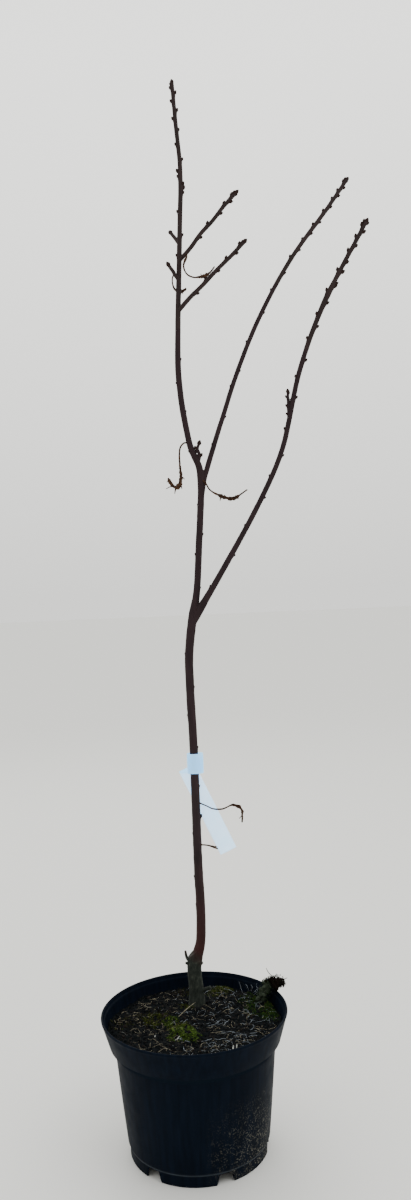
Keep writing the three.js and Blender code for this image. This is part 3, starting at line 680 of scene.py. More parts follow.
def coat(tree, shader, colour, rough, gloss):
    for name, value in (("Base Color", colour), ("Roughness", rough), ("Specular IOR Level", gloss)):
        attach(tree, shader.inputs[name], value)


def bump(tree, shader, height, strength, depth):
    """Bumps of a depth in millimetres."""
    normal = node(tree, "Bump", {"Strength": strength, "Distance": depth * MM, "Height": height})
    tree.links.new(normal, shader.inputs["Normal"])


def pored(tree, shader, base, share, pore, rough):
    """Bark of a base colour with pale pores and fine cracks along the wood."""
    spots = grain(tree, 420, (1, 1, 0.6), kind="TexVoronoi")
    pores = ramp(tree, spots, (0.1, share), (0.2, 0))
    coat(tree, shader, mix(tree, pores, base, linear(pore)), rough, 0.15)
    bump(tree, shader, grain(tree, 900, (1, 1, 0.2)), 0.35, 0.3)


def bark(dark, light, pore):
    def build(tree, shader):
        base = ramp(tree, grain(tree, 90, (1, 1, 0.25)), (0.3, dark), (0.7, light))
        pored(tree, shader, base, 0.4, pore, 0.85)

    return build


def trunk_bark(tree, shader):
    """Grey-green mottled rootstock below the graft, red-brown scion above it, browner with height."""
    fine = grain(tree, 260, (1, 1, 0.5))
    stock = ramp(tree, fine, (0.3, (30, 35, 31)), (0.55, (46, 51, 46)), (0.8, (76, 79, 70)))
    long = grain(tree, 90, (1, 1, 0.25))
    red = ramp(tree, long, (0.3, (45, 27, 26)), (0.7, (60, 33, 32)))
    brown = ramp(tree, long, (0.3, (36, 29, 31)), (0.7, (50, 38, 41)))
    upper = mix(tree, share_along(tree, UP, 270, 420), red, brown)
    border = share_along(tree, (0.5, 0, 1), 240, 285)
    blur = node(tree, "Math", {0: grain(tree, 70), 1: 0.5, 2: border}, operation="MULTIPLY_ADD")
    base = mix(tree, ramp(tree, blur, (0.45, 0), (1, 1)), stock, upper)
    pored(tree, shader, base, 0.6, (84, 76, 70), 0.8)


def speckled(scale, rough, *stops, strength=0.4, stretch=(1, 1, 1)):
    """Noise between several colours, with a bump of a finer grain."""
    def build(tree, shader):
        coat(tree, shader, ramp(tree, grain(tree, scale, stretch), *stops), rough, 0.03)
        bump(tree, shader, grain(tree, scale * 4, stretch), strength, 0.5)

    return build


def pot_plastic(tree, shader):
    """Near-black dusty plastic, with painted light on the step under the band, a pale line at the wall's foot
    and splashed soil low on the right.
    """
    def span(*ends):
        """1 between two heights, each given as where the share begins and ends to change."""
        return product(tree, *(share_along(tree, UP, *end) for end in ends))

    wall_top = BAND_FOOT - STEP_HEIGHT
    base = ramp(tree, grain(tree, 150, (1, 1, 0.04)), (0.35, (8, 14, 23)), (0.7, (12, 20, 32)))
    # Painted light: the step under the band gets a flat colour a little lighter than the wall's, to offset
    # the shade that falls in it; its roughness is 1 there too
    step = span((wall_top - 2, wall_top + 2), (BAND_FOOT + 0.8, BAND_FOOT - 0.2))
    base = mix(tree, step, base, linear((13, 21, 30)))
    foot = span((FOOT_HEIGHT - 1.5, FOOT_HEIGHT - 0.5), (FOOT_HEIGHT + 2.5, FOOT_HEIGHT + 1))
    base = mix(tree, product(tree, foot, grain(tree, 60)), base, linear((66, 74, 82)))
    fine = ramp(tree, grain(tree, 460, detail=3), (0.55, 0), (0.61, 1))
    coarse = ramp(tree, grain(tree, 90), (0.36, 0), (0.62, 1))
    splash = product(tree, fine, coarse, span((120, 30)), share_along(tree, RIGHT, 10, 84))
    base = mix(tree, splash, base, linear((112, 110, 100)))
    rough = ramp(tree, grain(tree, 60), (0.3, 0.42), (0.7, 0.56))
    coat(tree, shader, base, mix(tree, step, rough, (1, 1, 1, 1)), 0.02)
    bump(tree, shader, grain(tree, 1500), 0.12, 0.2)


def paper(tree, shader):
    """A thin strip that light from behind shines through, with a painted blue glow on top: light blue on the
    loop, and painted paler on its tail as painted light.
    """
    cloud = grain(tree, 60)
    # Painted light: the tail is painted paler than the loop, as if more light came through it; loop and tail
    # are the same paper
    tail = ramp(tree, cloud, (0.3, (172, 210, 255)), (0.7, (188, 220, 255)))
    loop = ramp(tree, cloud, (0.3, (110, 186, 255)), (0.7, (130, 198, 255)))
    shade = mix(tree, share_along(tree, UP, LABEL_FOOT - 3.5, LABEL_FOOT - 0.5), tail, loop)
    coat(tree, shader, shade, 0.5, 0.3)
    # The emission is a painted glow: the label gives off light of its own, brighter than the lamps and the
    # sky make it
    for name, value in (
        ("Subsurface Weight", 0.9), ("Subsurface Radius", (1, 1, 1)), ("Subsurface Scale", 4 * MM),
        ("Emission Color", linear((144, 200, 255))), ("Emission Strength", 1.15),
    ):
        shader.inputs[name].default_value = value
    bump(tree, shader, grain(tree, 400), 0.1, 0.2)


def pale_ground(tree, shader):
    coat(tree, shader, linear((238, 238, 235)), 0.9, 0.5)


MATERIALS = {
    name: material(name, build)
    for name, build in {
        "pot_plastic": pot_plastic,
        "compost": speckled(
            500, 0.95, (0.3, (4, 7, 9)), (0.5, (11, 14, 16)), (0.72, (27, 30, 32)), strength=0.8,
        ),
        "crumb": speckled(700, 0.95, (0.3, (6, 8, 10)), (0.7, (23, 25, 27))),
        "chip": speckled(300, 0.9, (0.3, (18, 16, 16)), (0.7, (46, 40, 37)), stretch=(1, 1, 0.3)),
        "pale_chip": speckled(300, 0.85, (0.3, (124, 126, 122)), (0.7, (184, 186, 180))),
        "straw": speckled(400, 0.8, (0.3, (124, 116, 98)), (0.7, (190, 182, 158))),
        "ash": speckled(400, 0.9, (0.3, (112, 120, 128)), (0.7, (186, 196, 206))),
        "fibre": speckled(400, 0.9, (0.3, (40, 41, 40)), (0.7, (70, 70, 66))),
        "moss_bright": speckled(400, 0.9, (0.3, (18, 34, 8)), (0.5, (46, 68, 22)), (0.68, (112, 140, 62))),
        "moss_olive": speckled(400, 0.9, (0.3, (24, 30, 10)), (0.5, (50, 58, 22)), (0.7, (92, 100, 44))),
        "moss_dark": speckled(400, 0.9, (0.3, (14, 32, 12)), (0.7, (44, 72, 30))),
        "moss_brown": speckled(400, 0.9, (0.3, (24, 22, 10)), (0.7, (44, 41, 22))),
        "moss_grey": speckled(500, 0.95, (0.3, (34, 42, 35)), (0.7, (72, 80, 66))),
        "crust": speckled(500, 0.95, (0.3, (10, 8, 7)), (0.7, (28, 21, 17))),
        "trunk_bark": trunk_bark,
        "bark": bark((37, 28, 31), (49, 36, 39), (74, 63, 61)),
        "twig_bark": bark((42, 34, 34), (54, 43, 43), (80, 70, 66)),
        "bud": speckled(700, 0.7, (0.3, (34, 26, 25)), (0.7, (54, 41, 38)), strength=0.2),
        "dry_leaf": speckled(300, 0.85, (0.3, (34, 24, 19)), (0.5, (58, 41, 31)), (0.75, (94, 68, 50))),
        "label": paper,
        "floor": pale_ground,
    }.items()
}


# Pot

def lug_edge(angle):
    """Height of the foot ring's lower edge: zero on the lugs, the base's height in the notches."""
    pitch = TURN / LUGS
    across = (angle + math.pi / 2 - math.radians(FRONT_LUG_TURN) + pitch / 2) % pitch - pitch / 2
    apart = (pitch / 2 - np.abs(across)) * FOOT_RADIUS
    share = 1 - smoothstep(apart, NOTCH_TOP / 2, NOTCH_FOOT / 2)
    return share * (FOOT_HEIGHT - SHEET - 0.3)


def rounded(profile):
    """A profile with each corner rounded off, as a list of points."""
    points = [np.array(point, float) for point in profile]
    made = [points[0]]
    for before, here, after in zip(points, points[1:], points[2:]):
        back, on = before - here, after - here
        cut = min(CORNER, 0.45 * np.linalg.norm(back), 0.45 * np.linalg.norm(on))
        first, last = here + unit(back) * cut, here + unit(on) * cut
        for share in np.linspace(0, 1, CORNER_STEPS):
            made.append((1 - share) ** 2 * first + 2 * share * (1 - share) * here + share ** 2 * last)
    return np.array(made + [points[-1]])


def level_ring(radius, angle, height):
    """A ring of points round the pot's axis."""
    x, y = radius * np.cos(angle), radius * np.sin(angle)
    return np.stack(np.broadcast_arrays(x, y, height), axis=-1)


# The wall's inner face, from its foot up, as (radius, height)
INSIDE = [
    (WALL_FOOT_RADIUS - SHEET, FOOT_HEIGHT + 5),
    (WALL_TOP_RADIUS - SHEET, BAND_FOOT - STEP_HEIGHT),
    (WALL_TOP_RADIUS + 1.6, BAND_FOOT - 2.6),
    (BAND_FOOT_RADIUS - SHEET, BAND_FOOT + 0.6),
    (RIM_RADIUS - SHEET - 0.9, POT_HEIGHT - 1.2),
]


def inner_radius(height):
    return np.interp(height, [h for _, h in INSIDE], [r for r, _ in INSIDE])


def make_pot():
    outside = rounded([
        (FOOT_RADIUS - SHEET, 0), (FOOT_RADIUS - SHEET / 2, 0), (FOOT_RADIUS, 0.6),
        (FOOT_RADIUS, FOOT_HEIGHT - 2), (WALL_FOOT_RADIUS - 1.4, FOOT_HEIGHT + 0.8),
        (WALL_FOOT_RADIUS, FOOT_HEIGHT + 4), (WALL_FOOT_RADIUS + 4.1, 60), (WALL_FOOT_RADIUS + 8.6, 105),
        (WALL_TOP_RADIUS, BAND_FOOT - STEP_HEIGHT), (WALL_TOP_RADIUS + 1.4, BAND_FOOT - 5),
        (BAND_FOOT_RADIUS - 3.6, BAND_FOOT - 1.6), (BAND_FOOT_RADIUS, BAND_FOOT),
        (BAND_FOOT_RADIUS + 5.4, BAND_FOOT + 18), (RIM_RADIUS - 1, POT_HEIGHT - 5),
        (RIM_RADIUS, POT_HEIGHT - 3), (RIM_RADIUS, POT_HEIGHT - 1), (RIM_RADIUS - 1, POT_HEIGHT),
        (RIM_RADIUS - SHEET, POT_HEIGHT), INSIDE[-1],
        (inner_radius(195.5), 195.5), (inner_radius(193.8) - 1.1, 193.8), (inner_radius(182), 182),
        *reversed(INSIDE[:-1]),
        (WALL_FOOT_RADIUS - 4, FOOT_HEIGHT + 1.4), (FOOT_RADIUS - 3, FOOT_HEIGHT),
        (PAD_RADIUS + 1.6, FOOT_HEIGHT), (PAD_RADIUS - 1.2, SHEET), (0.5, SHEET),
    ])
    under = rounded([
        (0.5, 0), (PAD_RADIUS, 0), (PAD_RADIUS + 3, FOOT_HEIGHT - SHEET),
        (FOOT_RADIUS - SHEET - 0.1, FOOT_HEIGHT - SHEET), (FOOT_RADIUS - SHEET, 0),
    ])
    angle = -around(POT_COLUMNS)
    edge = lug_edge(angle)
    rows = []
    for radius, height in np.vstack([under, outside[1:]]):
        on_foot = radius > FOOT_RADIUS - SHEET - 0.3 and height < FOOT_HEIGHT - 1
        level = np.maximum(height, edge + min(height, 0.4)) if on_foot else height
        rows.append(level_ring(radius, angle, level))
    shape = Shape()
    shape.add(*capped(np.array(rows)))
    piece("nursery_pot", shape, ["pot_plastic"], "pot", "pot")


# Compost, litter and moss

def from_stem(x, y):
    return np.hypot(x - STEM_X, y - STEM_Y)


def soil_height(x, y):
    mound = smoothstep(from_stem(x, y), FLAT_RADIUS, MOUND_RADIUS)
    height = (STEM_LEVEL - 0.3) * (1 - mound) + SOIL_LEVEL * mound
    height = height + SOIL_WAVE * mound * np.sin(x / 19 + 1) * np.cos(y / 23)
    for moss_x, moss_y, radius, rise in CUSHIONS:
        share = np.clip(np.hypot(x - moss_x, y - moss_y) / radius, 0, 1)
        height = height + rise * (1 - share * share) ** 1.5
    return height


def surface(x, y):
    """The compost's surface with its crumbs."""
    flat = np.stack([x, y, np.zeros_like(x)], axis=-1)
    rough = 1.5 * noise(flat, 13, 3) + 1.1 * noise(flat, 5.5, 4) + 0.6 * noise(flat, 2.4, 5)
    return soil_height(x, y) + rough - 0.4


def on_surface(x, y, lift=0.0):
    return np.column_stack([x, y, surface(x, y) + lift])


def make_compost():
    angle = -around(SOIL_COLUMNS)
    floor = FOOT_HEIGHT + 5.5
    walls = (1, floor), (WALL_FOOT_RADIUS - SHEET - 1, floor), (WALL_TOP_RADIUS - SHEET - 1, 150)
    rows = [level_ring(radius, angle, height) for radius, height in walls]
    for radius in np.linspace(inner_radius(SOIL_LEVEL) - 0.5, 1, SOIL_ROWS):
        rows.append(on_surface(radius * np.cos(angle), radius * np.sin(angle)))
    shape = Shape()
    shape.add(*capped(np.array(rows)))
    piece("compost", shape, ["compost"], "compost", "root_ball")


def on_compost(random, count, edge=4):
    """Random places on the compost, clear of the wall and the stem."""
    mouth = inner_radius(SOIL_LEVEL) - edge
    radius = mouth * np.sqrt(random.random(count))
    angle = random.random(count) * TURN
    x, y = radius * np.cos(angle), radius * np.sin(angle)
    clear = from_stem(x, y) > STEM_ROOM
    return x[clear], y[clear]


def kept_inside(points, limit):
    """Points drawn towards the pot's axis until they are no further from it than the limit."""
    points[:, :2] *= np.minimum(1, limit / np.hypot(points[:, 0], points[:, 1]))[:, None]
    return points


GOLD = (1 + 5 ** 0.5) / 2
BALL = np.array([
    (-1, GOLD, 0), (1, GOLD, 0), (-1, -GOLD, 0), (1, -GOLD, 0), (0, -1, GOLD), (0, 1, GOLD),
    (0, -1, -GOLD), (0, 1, -GOLD), (GOLD, 0, -1), (GOLD, 0, 1), (-GOLD, 0, -1), (-GOLD, 0, 1),
]) / math.hypot(1, GOLD)
BALL_FACES = [
    (0, 11, 5), (0, 5, 1), (0, 1, 7), (0, 7, 10), (0, 10, 11), (1, 5, 9), (5, 11, 4), (11, 10, 2),
    (10, 7, 6), (7, 1, 8), (3, 9, 4), (3, 4, 2), (3, 2, 6), (3, 6, 8), (3, 8, 9), (4, 9, 5),
    (2, 4, 11), (6, 2, 10), (8, 6, 7), (9, 8, 1),
]


def make_crumbs():
    random = np.random.default_rng(CRUMB_SEED)
    shape = Shape()
    for centre in on_surface(*on_compost(random, CRUMBS)):
        size = random.uniform(0.5, 1.7) * random.choice([1, 1, 1.5])
        uneven = random.uniform(0.6, 1.35, (12, 1))
        squash = random.uniform(0.6, 1.2, 3)
        points = BALL * uneven * squash * size + centre + (0, 0, 0.2 * size)
        shape.add(points, BALL_FACES, int(random.random() < 0.2))
    piece("compost_crumbs", shape, ["crumb", "chip"], "compost")


def make_litter():
    """Fibres, bits of straw and chips of bark on the compost: greyer to the right, browner to the left."""
    random = np.random.default_rng(LITTER_SEED)
    names = ["pale_chip", "straw", "ash", "fibre", "chip"]
    left, right = ["straw", "fibre", "fibre", "chip"], ["ash", "straw", "fibre", "fibre", "ash", "chip"]
    shape = Shape()
    mouth = inner_radius(SOIL_LEVEL) - 2
    share = np.array([-0.5, -0.2, 0.15, 0.5])
    for x, y in zip(*on_compost(random, FIBRES, 8)):
        length = random.uniform(3, 12) * random.choice([1, 1, 2])
        heading = random.random() * TURN
        bend = random.uniform(-1, 1)
        rise = random.uniform(0.4, 2.4)
        turn = heading + bend * share
        px, py = x + length * share * np.cos(turn), y + length * share * np.sin(turn)
        inward = np.minimum(1, mouth / np.hypot(px, py))
        px, py = px * inward, py * inward
        height = surface(px, py) + 0.6 + rise * (1 - 4 * share * share) * random.random()
        kinds = right if x + random.normal(0, 40) > 0 else left
        kind = random.choice(kinds) if random.random() > PALE_SHARE else "pale_chip"
        shape.add(*strand(np.column_stack([px, py, height]), random.uniform(0.08, 0.19)), names.index(kind))
    for centre in on_surface(*on_compost(random, CHIPS, 8), 0.6):
        size = random.uniform(0.9, 2.7)
        chip = BALL * (size, size * random.uniform(0.35, 0.8), random.uniform(0.35, 0.8))
        tilt, turn = random.uniform(-0.5, 0.5), random.random() * TURN
        chip = turned(turned(chip, tilt, 0, 2), turn, 0, 1)
        kind = random.choice(["chip", "chip", "fibre"]) if random.random() > PALE_SHARE else "pale_chip"
        shape.add(chip * random.uniform(0.85, 1.15, (12, 1)) + centre, BALL_FACES, names.index(kind))
    # The straw that leans on the stem's foot, and threads that arch from the sucker's stub
    for path, radius, kind in (
        ([(-24, 15, 184), (-12, 33, 187), (1, 43, 192)], 0.38, "straw"),
        ([(24, 50, 211), (29, 47, 213), (33, 44, 210), (33, 43, 204), (29, 43, 199)], 0.4, "fibre"),
        ([(24, 50, 211), (27, 46, 206), (26, 43, 200), (22, 41, 196)], 0.3, "fibre"),
    ):
        shape.add(*strand(path, radius, 6), names.index(kind))
    # Dead threads that stand in the moss at the wall
    for _ in range(THREADS):
        foot = np.array((86, 84, 183)) + random.normal(0, 1, 3) * (11, 8, 0)
        tip = foot + random.normal(0, 1, 3) * (15, 8, 4) + (-2, 2, 9)
        bend = (foot + tip) / 2 + random.normal(0, 2, 3)
        path = np.array([foot, bend, tip])
        path = kept_inside(path, inner_radius(path[:, 2]) - 3)
        shape.add(*strand(path, random.uniform(0.12, 0.2)), random.choice([2, 3, 3, 4]))
    # Pale shreds of wood
    for (x, y), (dx, dy), thick in (
        ((54, -84), (1, 8), 1.1), ((59, -83), (1, 7), 0.8),
        ((-27, -56), (6, 8), 1), ((-57, -40), (1, 6), 0.9),
    ):
        place = np.array([(x, y), (x + dx / 2, y + dy / 2), (x + dx, y + dy)], float)
        shape.add(*strand(on_surface(*place.T, (1, 1.8, 2.6)), thick, 6, 0.4), 0)
    piece("compost_litter", shape, names, "compost")


def blade(foot, direction, length, width, across):
    """A moss leaf: a slim four-sided point."""
    direction = unit(direction)
    side = np.cross(direction, across)
    side = side / max(np.linalg.norm(side), 1e-6) * width
    front = np.cross(direction, side)
    middle = foot + direction * length * 0.45
    tip = foot + direction * length
    points = [foot, middle + side, middle + front * 0.6, middle - side, middle - front * 0.6, tip]
    faces = [(0, 2, 1), (0, 3, 2), (0, 4, 3), (0, 1, 4), (5, 1, 2), (5, 2, 3), (5, 3, 4), (5, 4, 1)]
    return np.array(points), faces


def make_moss():
    random = np.random.default_rng(MOSS_SEED)
    shape = Shape()
    names = sorted({entry[3] for entry in MOSS})
    for x, y, radius, name, count in MOSS:
        reach = radius * np.sqrt(random.random(count)) * (0.75 + 0.4 * random.random(count))
        angle = random.random(count) * TURN
        px, py = x + reach * np.cos(angle), y + reach * np.sin(angle)
        patchy = noise(np.column_stack([px, py, np.zeros(count)]), 6, 61) > -0.35
        clear = np.hypot(px, py) < inner_radius(SOIL_LEVEL) - 3
        clear &= from_stem(px, py) > STEM_ROOM
        for foot in on_surface(px, py, -0.4)[patchy & clear]:
            lean = random.normal(0, 0.5, 3) + UP
            sizes = random.uniform(1.6, 3.8), random.uniform(0.3, 0.6)
            look = name if random.random() < 0.8 else "moss_olive"
            shape.add(*blade(foot, lean, *sizes, random.normal(0, 1, 3)), names.index(look))
    piece("moss_cushions", shape, names, "compost")


# Skins

def voxelled(name, shape, voxel, smooth):
    """The shape's overlapping solids as one skin of even facets."""
    source = in_scene(name + "_source", shape.mesh(name + "_source"))
    remesh = source.modifiers.new("skin", "REMESH")
    remesh.mode = "VOXEL"
    remesh.voxel_size = voxel * MM
    remesh.use_smooth_shade = True
    soften = source.modifiers.new("soften", "SMOOTH")
    soften.factor = 0.5
    soften.iterations = smooth
    graph = bpy.context.evaluated_depsgraph_get()
    data = bpy.data.meshes.new_from_object(source.evaluated_get(graph))
    data.name = name
    bpy.data.objects.remove(source)
    return data


def read(data, what):
    """The vertices' places in metres, or their normals."""
    flat = np.zeros(len(data.vertices) * 3, np.float32)
    data.vertices.foreach_get(what, flat)
    return flat.reshape(-1, 3).astype(float)


def swollen(data, push):
    """The vertices in millimetres, each pushed out along its normal."""
    points = read(data, "co") / MM
    return points + read(data, "normal") * push(points)[:, None]


def write_points(data, points):
    data.vertices.foreach_set("co", (points * MM).ravel())
    data.polygons.foreach_set("use_smooth", [True] * len(data.polygons))
    data.update()


def make_clump():
    random = np.random.default_rng(CLUMP_SEED)
    shapes = {"clump_stalk": Shape(), "clump_crust": Shape()}
    for target, lumps in zip(shapes.values(), (CLUMP_STALK, CLUMP_CRUST)):
        for x, y, z, radius in lumps:
            for _ in range(LUMP_BALLS):
                spot = random.normal(0, 0.42, 3) * radius + (x, y, z)
                target.add(BALL * random.uniform(0.3, 0.55) * radius + spot, BALL_FACES)
            target.add(BALL * radius * 0.85 + (x, y, z), BALL_FACES)
    for (name, shape), look, nodes in zip(shapes.items(), ("moss_grey", "crust"), (["clump"], [])):
        data = voxelled(name, shape, CLUMP_VOXEL, smooth=1)
        points = swollen(data, lambda places: 1.5 * noise(places, 4, 31) + noise(places, 1.8, 32))
        wall = inner_radius(points[:, 2]) - 0.4
        write_points(data, kept_inside(points, np.where(points[:, 2] < POT_HEIGHT + 0.3, wall, FAR)))
        piece(name, data, [look], "moss_clump", *nodes)
    shape = Shape()
    lumps = CLUMP_STALK + CLUMP_CRUST
    for _ in range(CLUMP_LEAVES):
        x, y, z, radius = lumps[random.integers(0, len(lumps))]
        out = unit(random.normal(0, 1, 3))
        foot = np.array((x, y, z)) + out * radius * 0.92
        tip = foot + out * 4
        in_wall = tip[2] < POT_HEIGHT + 1 and math.hypot(tip[0], tip[1]) > inner_radius(tip[2]) - 2
        if foot[2] < SOIL_LEVEL + 1 or in_wall:
            continue
        look = 1 if x > 116 and random.random() < 0.9 else int(random.choice([0, 2]))
        lean = out + random.normal(0, 0.35, 3)
        sizes = random.uniform(1.5, 3.4), random.uniform(0.25, 0.5)
        shape.add(*blade(foot, lean, *sizes, random.normal(0, 1, 3)), look)
    # Dead threads that stand out of the clump
    for path in (
        [(124, 54, 214), (121, 53, 222), (115, 53, 228), (111, 53, 236)],
        [(124, 54, 214), (124, 53, 221), (127, 52, 227)],
        [(136, 51, 215), (139, 50, 219), (143, 49, 221)],
    ):
        shape.add(*strand(path, 0.55), 1)
    piece("clump_moss", shape, ["moss_dark", "crust", "moss_grey"], "moss_clump")


# Wood

stem = Line(STEM_PATH, STEM_RADII)
high = Line(HIGH_PATH, HIGH_RADII, HIGH_BARK)
low = Line(LOW_PATH, LOW_RADII, LOW_BARK)
left_shoots = [shoot_line(stem, sizes) for sizes in LEFT_SHOOTS]
stem_buds = bud_places(stem, STEM_SEED)
high_buds = bud_places(high, HIGH_SEED)
low_buds = bud_places(low, LOW_SEED)


def add_limb(shape, line, start, end, sides, step, places, seed):
    rings = tube(line, line.fraction(start), line.fraction(end), sides, step, young_bark(places, line, seed))
    shape.add(*capped(rings))


def weathered(data, pores, rough):
    """Bark relief on a finished skin: pores, fine cracks that run along the wood, and a rougher rootstock."""
    def push(points):
        total = 0.06 * noise(points * (1, 1, 0.22), 1.3, 51) + 0.12 * noise(points * (1, 1, 0.4), 7, 52)
        total = total + pores * dots(points * (1, 1, 0.7), 2.6, 0.85, 0.55, 53)
        lower = smoothstep(-points[:, 2], -272, -236)
        return total + lower * rough * (noise(points, 3.2, 54) + 0.6 * noise(points * (1, 1, 2.2), 1.7, 55))

    write_points(data, swollen(data, push))


def make_trunk():
    """Rootstock and scion grown together, up to the label."""
    shape = Shape()
    stock = Line(STOCK_PATH, STOCK_RADII)
    rings = tube(stock, stock.fraction(STOCK_FOOT), stock.fraction(STOCK_TOP), 64, 1)
    slope = math.tan(math.radians(HEEL_SLOPE))
    rings[..., 2] = np.minimum(rings[..., 2], HEEL_AT[1] + (rings[..., 0] - HEEL_AT[0]) * slope)
    shape.add(*capped(rings))
    buds = between(stem, stem_buds, LOWEST_BUD, LABEL_FOOT - TAIL / 2) + eyes(stem, STEM_EYES)
    add_limb(shape, stem, STEM_PATH[0][2], TRUNK_TOP, 48, 0.9, buds, TRUNK_RELIEF)
    for path, thick, thin in SNAGS:
        shape.add(*capped(tube(tapered(path, thick + THIN_BARK, thin + THIN_BARK), 0, 1, 16, 0.8)))
    data = voxelled("trunk_wood", shape, TRUNK_VOXEL, smooth=5)
    weathered(data, pores=0.16, rough=0.24)
    piece("trunk_wood", data, ["trunk_bark"], "trunk_bark", "trunk")
    tips = Shape()
    place_buds(tips, stem, buds)
    piece("trunk_buds", tips, ["bud"], "trunk_bark")


def make_forks():
    """The stem above the label, the leader and the three boughs as one skin."""
    wood, buds = Shape(), Shape()
    own = between(stem, stem_buds, LABEL_FOOT + LOOP_HEIGHT, FIRST_FORK)
    own += between(stem, stem_buds, FIRST_FORK + FORK_ROOM, SECOND_FORK - FORK_ROOM / 2)
    own += between(stem, stem_buds, SECOND_FORK + FORK_ROOM, LEFT_MASS - END_ROOM) + eyes(stem, UPPER_EYES)
    limbs = [(stem, FORKS_FOOT, LEFT_MASS, 40, own, UPPER_RELIEF)]
    for line, path, mass, places, sides, seed in (
        (high, HIGH_PATH, HIGH_MASS, high_buds, 32, HIGH_RELIEF),
        (low, LOW_PATH, LOW_MASS, low_buds, 36, LOW_RELIEF),
    ):
        own = between(line, places, path[0][2] + BOUGH_ROOM, mass - END_ROOM)
        limbs.append((line, path[0][2], mass, sides, own, seed))
    for line, start, end, sides, own, seed in limbs:
        add_limb(wood, line, start, end, sides, 1, own, seed)
    for path, radius, seed in (FORK_SPUR, LOW_SPUR):
        line = tapered(path, radius, radius * SHOOT_TAPER)
        foot, top = path[0][2], path[-1][2]
        own = eyes(line, SPUR_EYES.get(seed, [])) or shoot_buds(line, foot, top, seed)
        add_limb(wood, line, foot, top, 24, 0.8, own, seed)
        place_buds(buds, line, own)
        tip_buds(buds, line, seed)
    data = voxelled("bough_wood", wood, BOUGH_VOXEL, smooth=3)
    weathered(data, pores=0.1, rough=0)
    piece("bough_wood", data, ["bark"], "bark", "leader", "bough_left", "bough_right_high", "bough_right_low")
    for line, _, _, _, own, _ in limbs:
        place_buds(buds, line, own)
    piece("bough_buds", buds, ["bud"], "bark")


def make_twigs(name, node_name, parts):
    """A mass of bare twigs: each part is a line, where it starts and ends, its buds and a seed."""
    shape = Shape()
    for line, start, end, places, seed in parts:
        add_limb(shape, line, start, end, 28, 0.7, places, seed)
        place_buds(shape, line, places, 1)
        tip_buds(shape, line, seed, 1)
    piece(name, shape, ["twig_bark", "bud"], "twigs", node_name)


def make_crown():
    own = between(stem, stem_buds, LEFT_MASS + END_ROOM, FAR) + eyes(stem, CROWN_EYES)
    parts = [(stem, LEFT_MASS - MASS_SUNK, STEM_PATH[-1][2], own, LEFT_TWIG)]
    for line, (foot, _, _, rise, _, seed) in zip(left_shoots, LEFT_SHOOTS):
        parts.append((line, foot, foot + rise, shoot_buds(line, foot, foot + rise, seed), seed))
    make_twigs("crown_left", "twigs_left", parts)
    for name, node_name, line, buds, mass, path, seed, larger in (
        ("crown_right_high", "twigs_right_high", high, high_buds, HIGH_MASS, HIGH_PATH, HIGH_TWIG, ()),
        ("crown_right_low", "twigs_right_low", low, low_buds, LOW_MASS, LOW_PATH, LOW_TWIG, LOW_EYES),
    ):
        places = between(line, buds, mass + END_ROOM, FAR) + eyes(line, larger)
        make_twigs(name, node_name, [(line, mass - MASS_SUNK, path[-1][2], places, seed)])


# Withered leaves and label

def make_dry_leaf(name, path, widths, twist, tips, seed):
    """A shrivelled leaf: a wiry stalk that widens into a rolled, crumpled blade with drawn-out points."""
    line = Line(path)
    count = math.ceil(line.length / 0.4)
    share = np.linspace(0, 1, count)
    at, _, side, front = line.frame(share)
    half = np.interp(share, *zip(*widths))
    leafy = smoothstep(half, 0.7, 1.8)
    half = half * 1.2 + 0.55
    ragged = noise(np.column_stack([share * line.length, np.full(count, seed), np.zeros(count)]), 2.1, seed)
    half = half * (1 + 0.28 * leafy * ragged)
    turn = math.radians(twist) * share
    cos, sin = np.cos(turn)[:, None], np.sin(turn)[:, None]
    across, facing = side * cos + front * sin, front * cos - side * sin
    angle = around(LEAF_SIDES)
    thick = np.minimum(half, 0.5 + 0.42 * half)[:, None]
    x = half[:, None] * np.cos(angle)[None, :]
    fold = 0.55 * (half * leafy)[:, None] * (np.abs(np.cos(angle)) - 0.5)[None, :]
    z = thick * np.sin(angle)[None, :] + fold
    rings = at[:, None] + across[:, None] * x[..., None] + facing[:, None] * z[..., None]
    flat = rings.reshape(-1, 3)
    size = (0.36 * leafy * np.minimum(half, 2.4))[:, None]
    for direction, lump in ((across, 1.7), (facing, 1.3), (facing, 3.1)):
        crumple = noise(flat, lump, seed + int(10 * lump)).reshape(count, LEAF_SIDES)
        rings = rings + direction[:, None] * (size * crumple)[..., None]
    shape = Shape()
    shape.add(*capped(rings))
    for where, tip in tips:
        start = line.place(where)
        foot = 0.55 * float(np.interp(where, *zip(*widths)))
        bend = (np.array(tip) + start) / 2 + (0, 0, 0.12 * np.linalg.norm(tip - start))
        shape.add(*spike([start, bend, tip], foot, 0.5))
    piece(name + "_blade", shape, ["dry_leaf"], "withered_leaf", name)


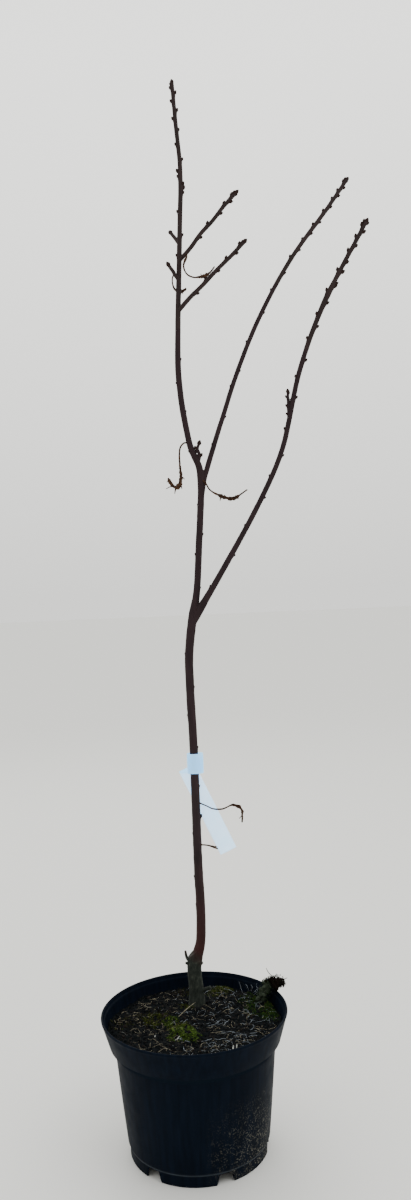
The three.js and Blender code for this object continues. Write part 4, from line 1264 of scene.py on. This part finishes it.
def make_label():
    """Blank strip label: a loose loop round the stem, and its tail hanging from the loop's back."""
    half_width, half_depth = LOOP
    fraction = stem.fraction(LABEL_FOOT + LOOP_HEIGHT)
    at, radius = stem.place(fraction), stem.radius(fraction)[0] + THICK_BARK
    middle = np.array((at[0] + LOOP_SHIFT, at[1] - radius - 0.6 - LABEL_SHEET + half_depth))
    shape = Shape()
    angle = -around(LOOP_COLUMNS)
    square = np.stack([np.cos(angle), np.sin(angle)], axis=-1)
    square = np.sign(square) * np.abs(square) ** 0.8
    levels = np.linspace(0, LOOP_HEIGHT, LOOP_ROWS)
    walls = []
    for inset, heights in ((0.0, levels), (LABEL_SHEET * 0.8, levels[::-1])):
        for level in heights:
            ring = square * (half_width - inset, half_depth - inset) + middle
            ring = ring + 0.25 * np.sin(level / 9 + angle * 2)[:, None] * square
            walls.append(np.column_stack([ring, np.full(LOOP_COLUMNS, LABEL_FOOT + level)]))
    walls.append(walls[0])
    shape.add(np.array(walls).reshape(-1, 3), grid(len(walls), LOOP_COLUMNS))
    down, across = np.linspace(0, 1, TAIL_ROWS)[:, None], np.linspace(-0.5, 0.5, TAIL_COLUMNS)
    hung_at = (at[0] + TAIL_SHIFT, at[1] + radius + TAIL_BACK, LABEL_FOOT + TAIL_TOP)
    sheets = []
    for face in (1, -1):
        y = face * LABEL_SHEET * 0.35 - SAG * down ** 2 + 1.2 * np.sin(2.6 * down) * (across ** 2 * 4)
        sheet = np.stack(np.broadcast_arrays(across * STRIP, y, -down * TAIL), axis=-1)
        sheets.append(turned(sheet, math.radians(LEAN), 0, 2) + hung_at)
    shape.add(*capped(np.concatenate([sheets[0], sheets[1][:, ::-1]], axis=1)))
    piece("label_strip", shape, ["label"], "label", "label")


make_pot()
make_compost()
make_crumbs()
make_litter()
make_moss()
make_clump()
make_trunk()
make_forks()
make_crown()
for number, (leaf_name, leaf) in enumerate(DRY_LEAVES.items()):
    make_dry_leaf(leaf_name, *leaf, FIRST_LEAF_SEED + number)
make_label()


# Floor, light and camera

def make_floor():
    data = bpy.data.meshes.new("floor")
    edge = FLOOR_SIZE / 2
    corners = [(-edge, -edge, 0), (edge, -edge, 0), (edge, edge, 0), (-edge, edge, 0)]
    data.from_pydata(corners, [], [(0, 1, 2, 3)])
    data.materials.append(MATERIALS["floor"])
    floor = in_scene("floor", data)


def make_studio():
    """A soft pale sky, brightest above and behind the tree, and three weak lamps."""
    world = bpy.data.worlds.new("studio")
    bpy.context.scene.world = world
    world.use_nodes = True
    tree = world.node_tree
    background = tree.nodes["Background"]
    background.inputs["Color"].default_value = linear((254, 254, 250))
    shares = []
    for axis, *ends in (("Y", -1, 1, 0.5, 1.6), ("Z", 0, 0.5, 0.8, 1.35)):
        along = node(tree, "SeparateXYZ", {0: node(tree, "TexCoord", {}, "Generated")}, axis)
        span = dict(zip(("From Min", "From Max", "To Min", "To Max"), ends))
        shares.append(node(tree, "MapRange", {**span, "Value": along}))
    tree.links.new(product(tree, *shares), background.inputs["Strength"])
    for name, place, size, power in (
        ("key", (1.6, -1.2, 3.2), 2.2, 24),
        ("fill", (-2.2, -1.8, 1.6), 2.6, 6),
        ("rim", (-0.8, 2.4, 2.6), 2.2, 20),
    ):
        data = bpy.data.lights.new(name, "AREA")
        data.shape = "DISK"
        data.size = size
        data.energy = power
        lamp = in_scene(name, data)
        lamp.location = place
        lamp.rotation_euler = (Vector(place) - Vector(LAMPS_AIM)).to_track_quat("Z", "Y").to_euler()


def make_camera():
    data = bpy.data.cameras.new("camera")
    data.sensor_fit = "AUTO"
    data.sensor_width = 36
    data.lens = LENS
    data.clip_start, data.clip_end = 0.05, 100
    camera = in_scene("camera", data)
    tilt = Matrix.Rotation(math.radians(90 - CAMERA_DIP), 4, "X")
    roll = Matrix.Rotation(math.radians(CAMERA_ROLL), 4, "Z")
    camera.matrix_world = Matrix.Translation(CAMERA_AT) @ tilt @ roll
    bpy.context.scene.camera = camera


make_floor()
make_studio()
make_camera()
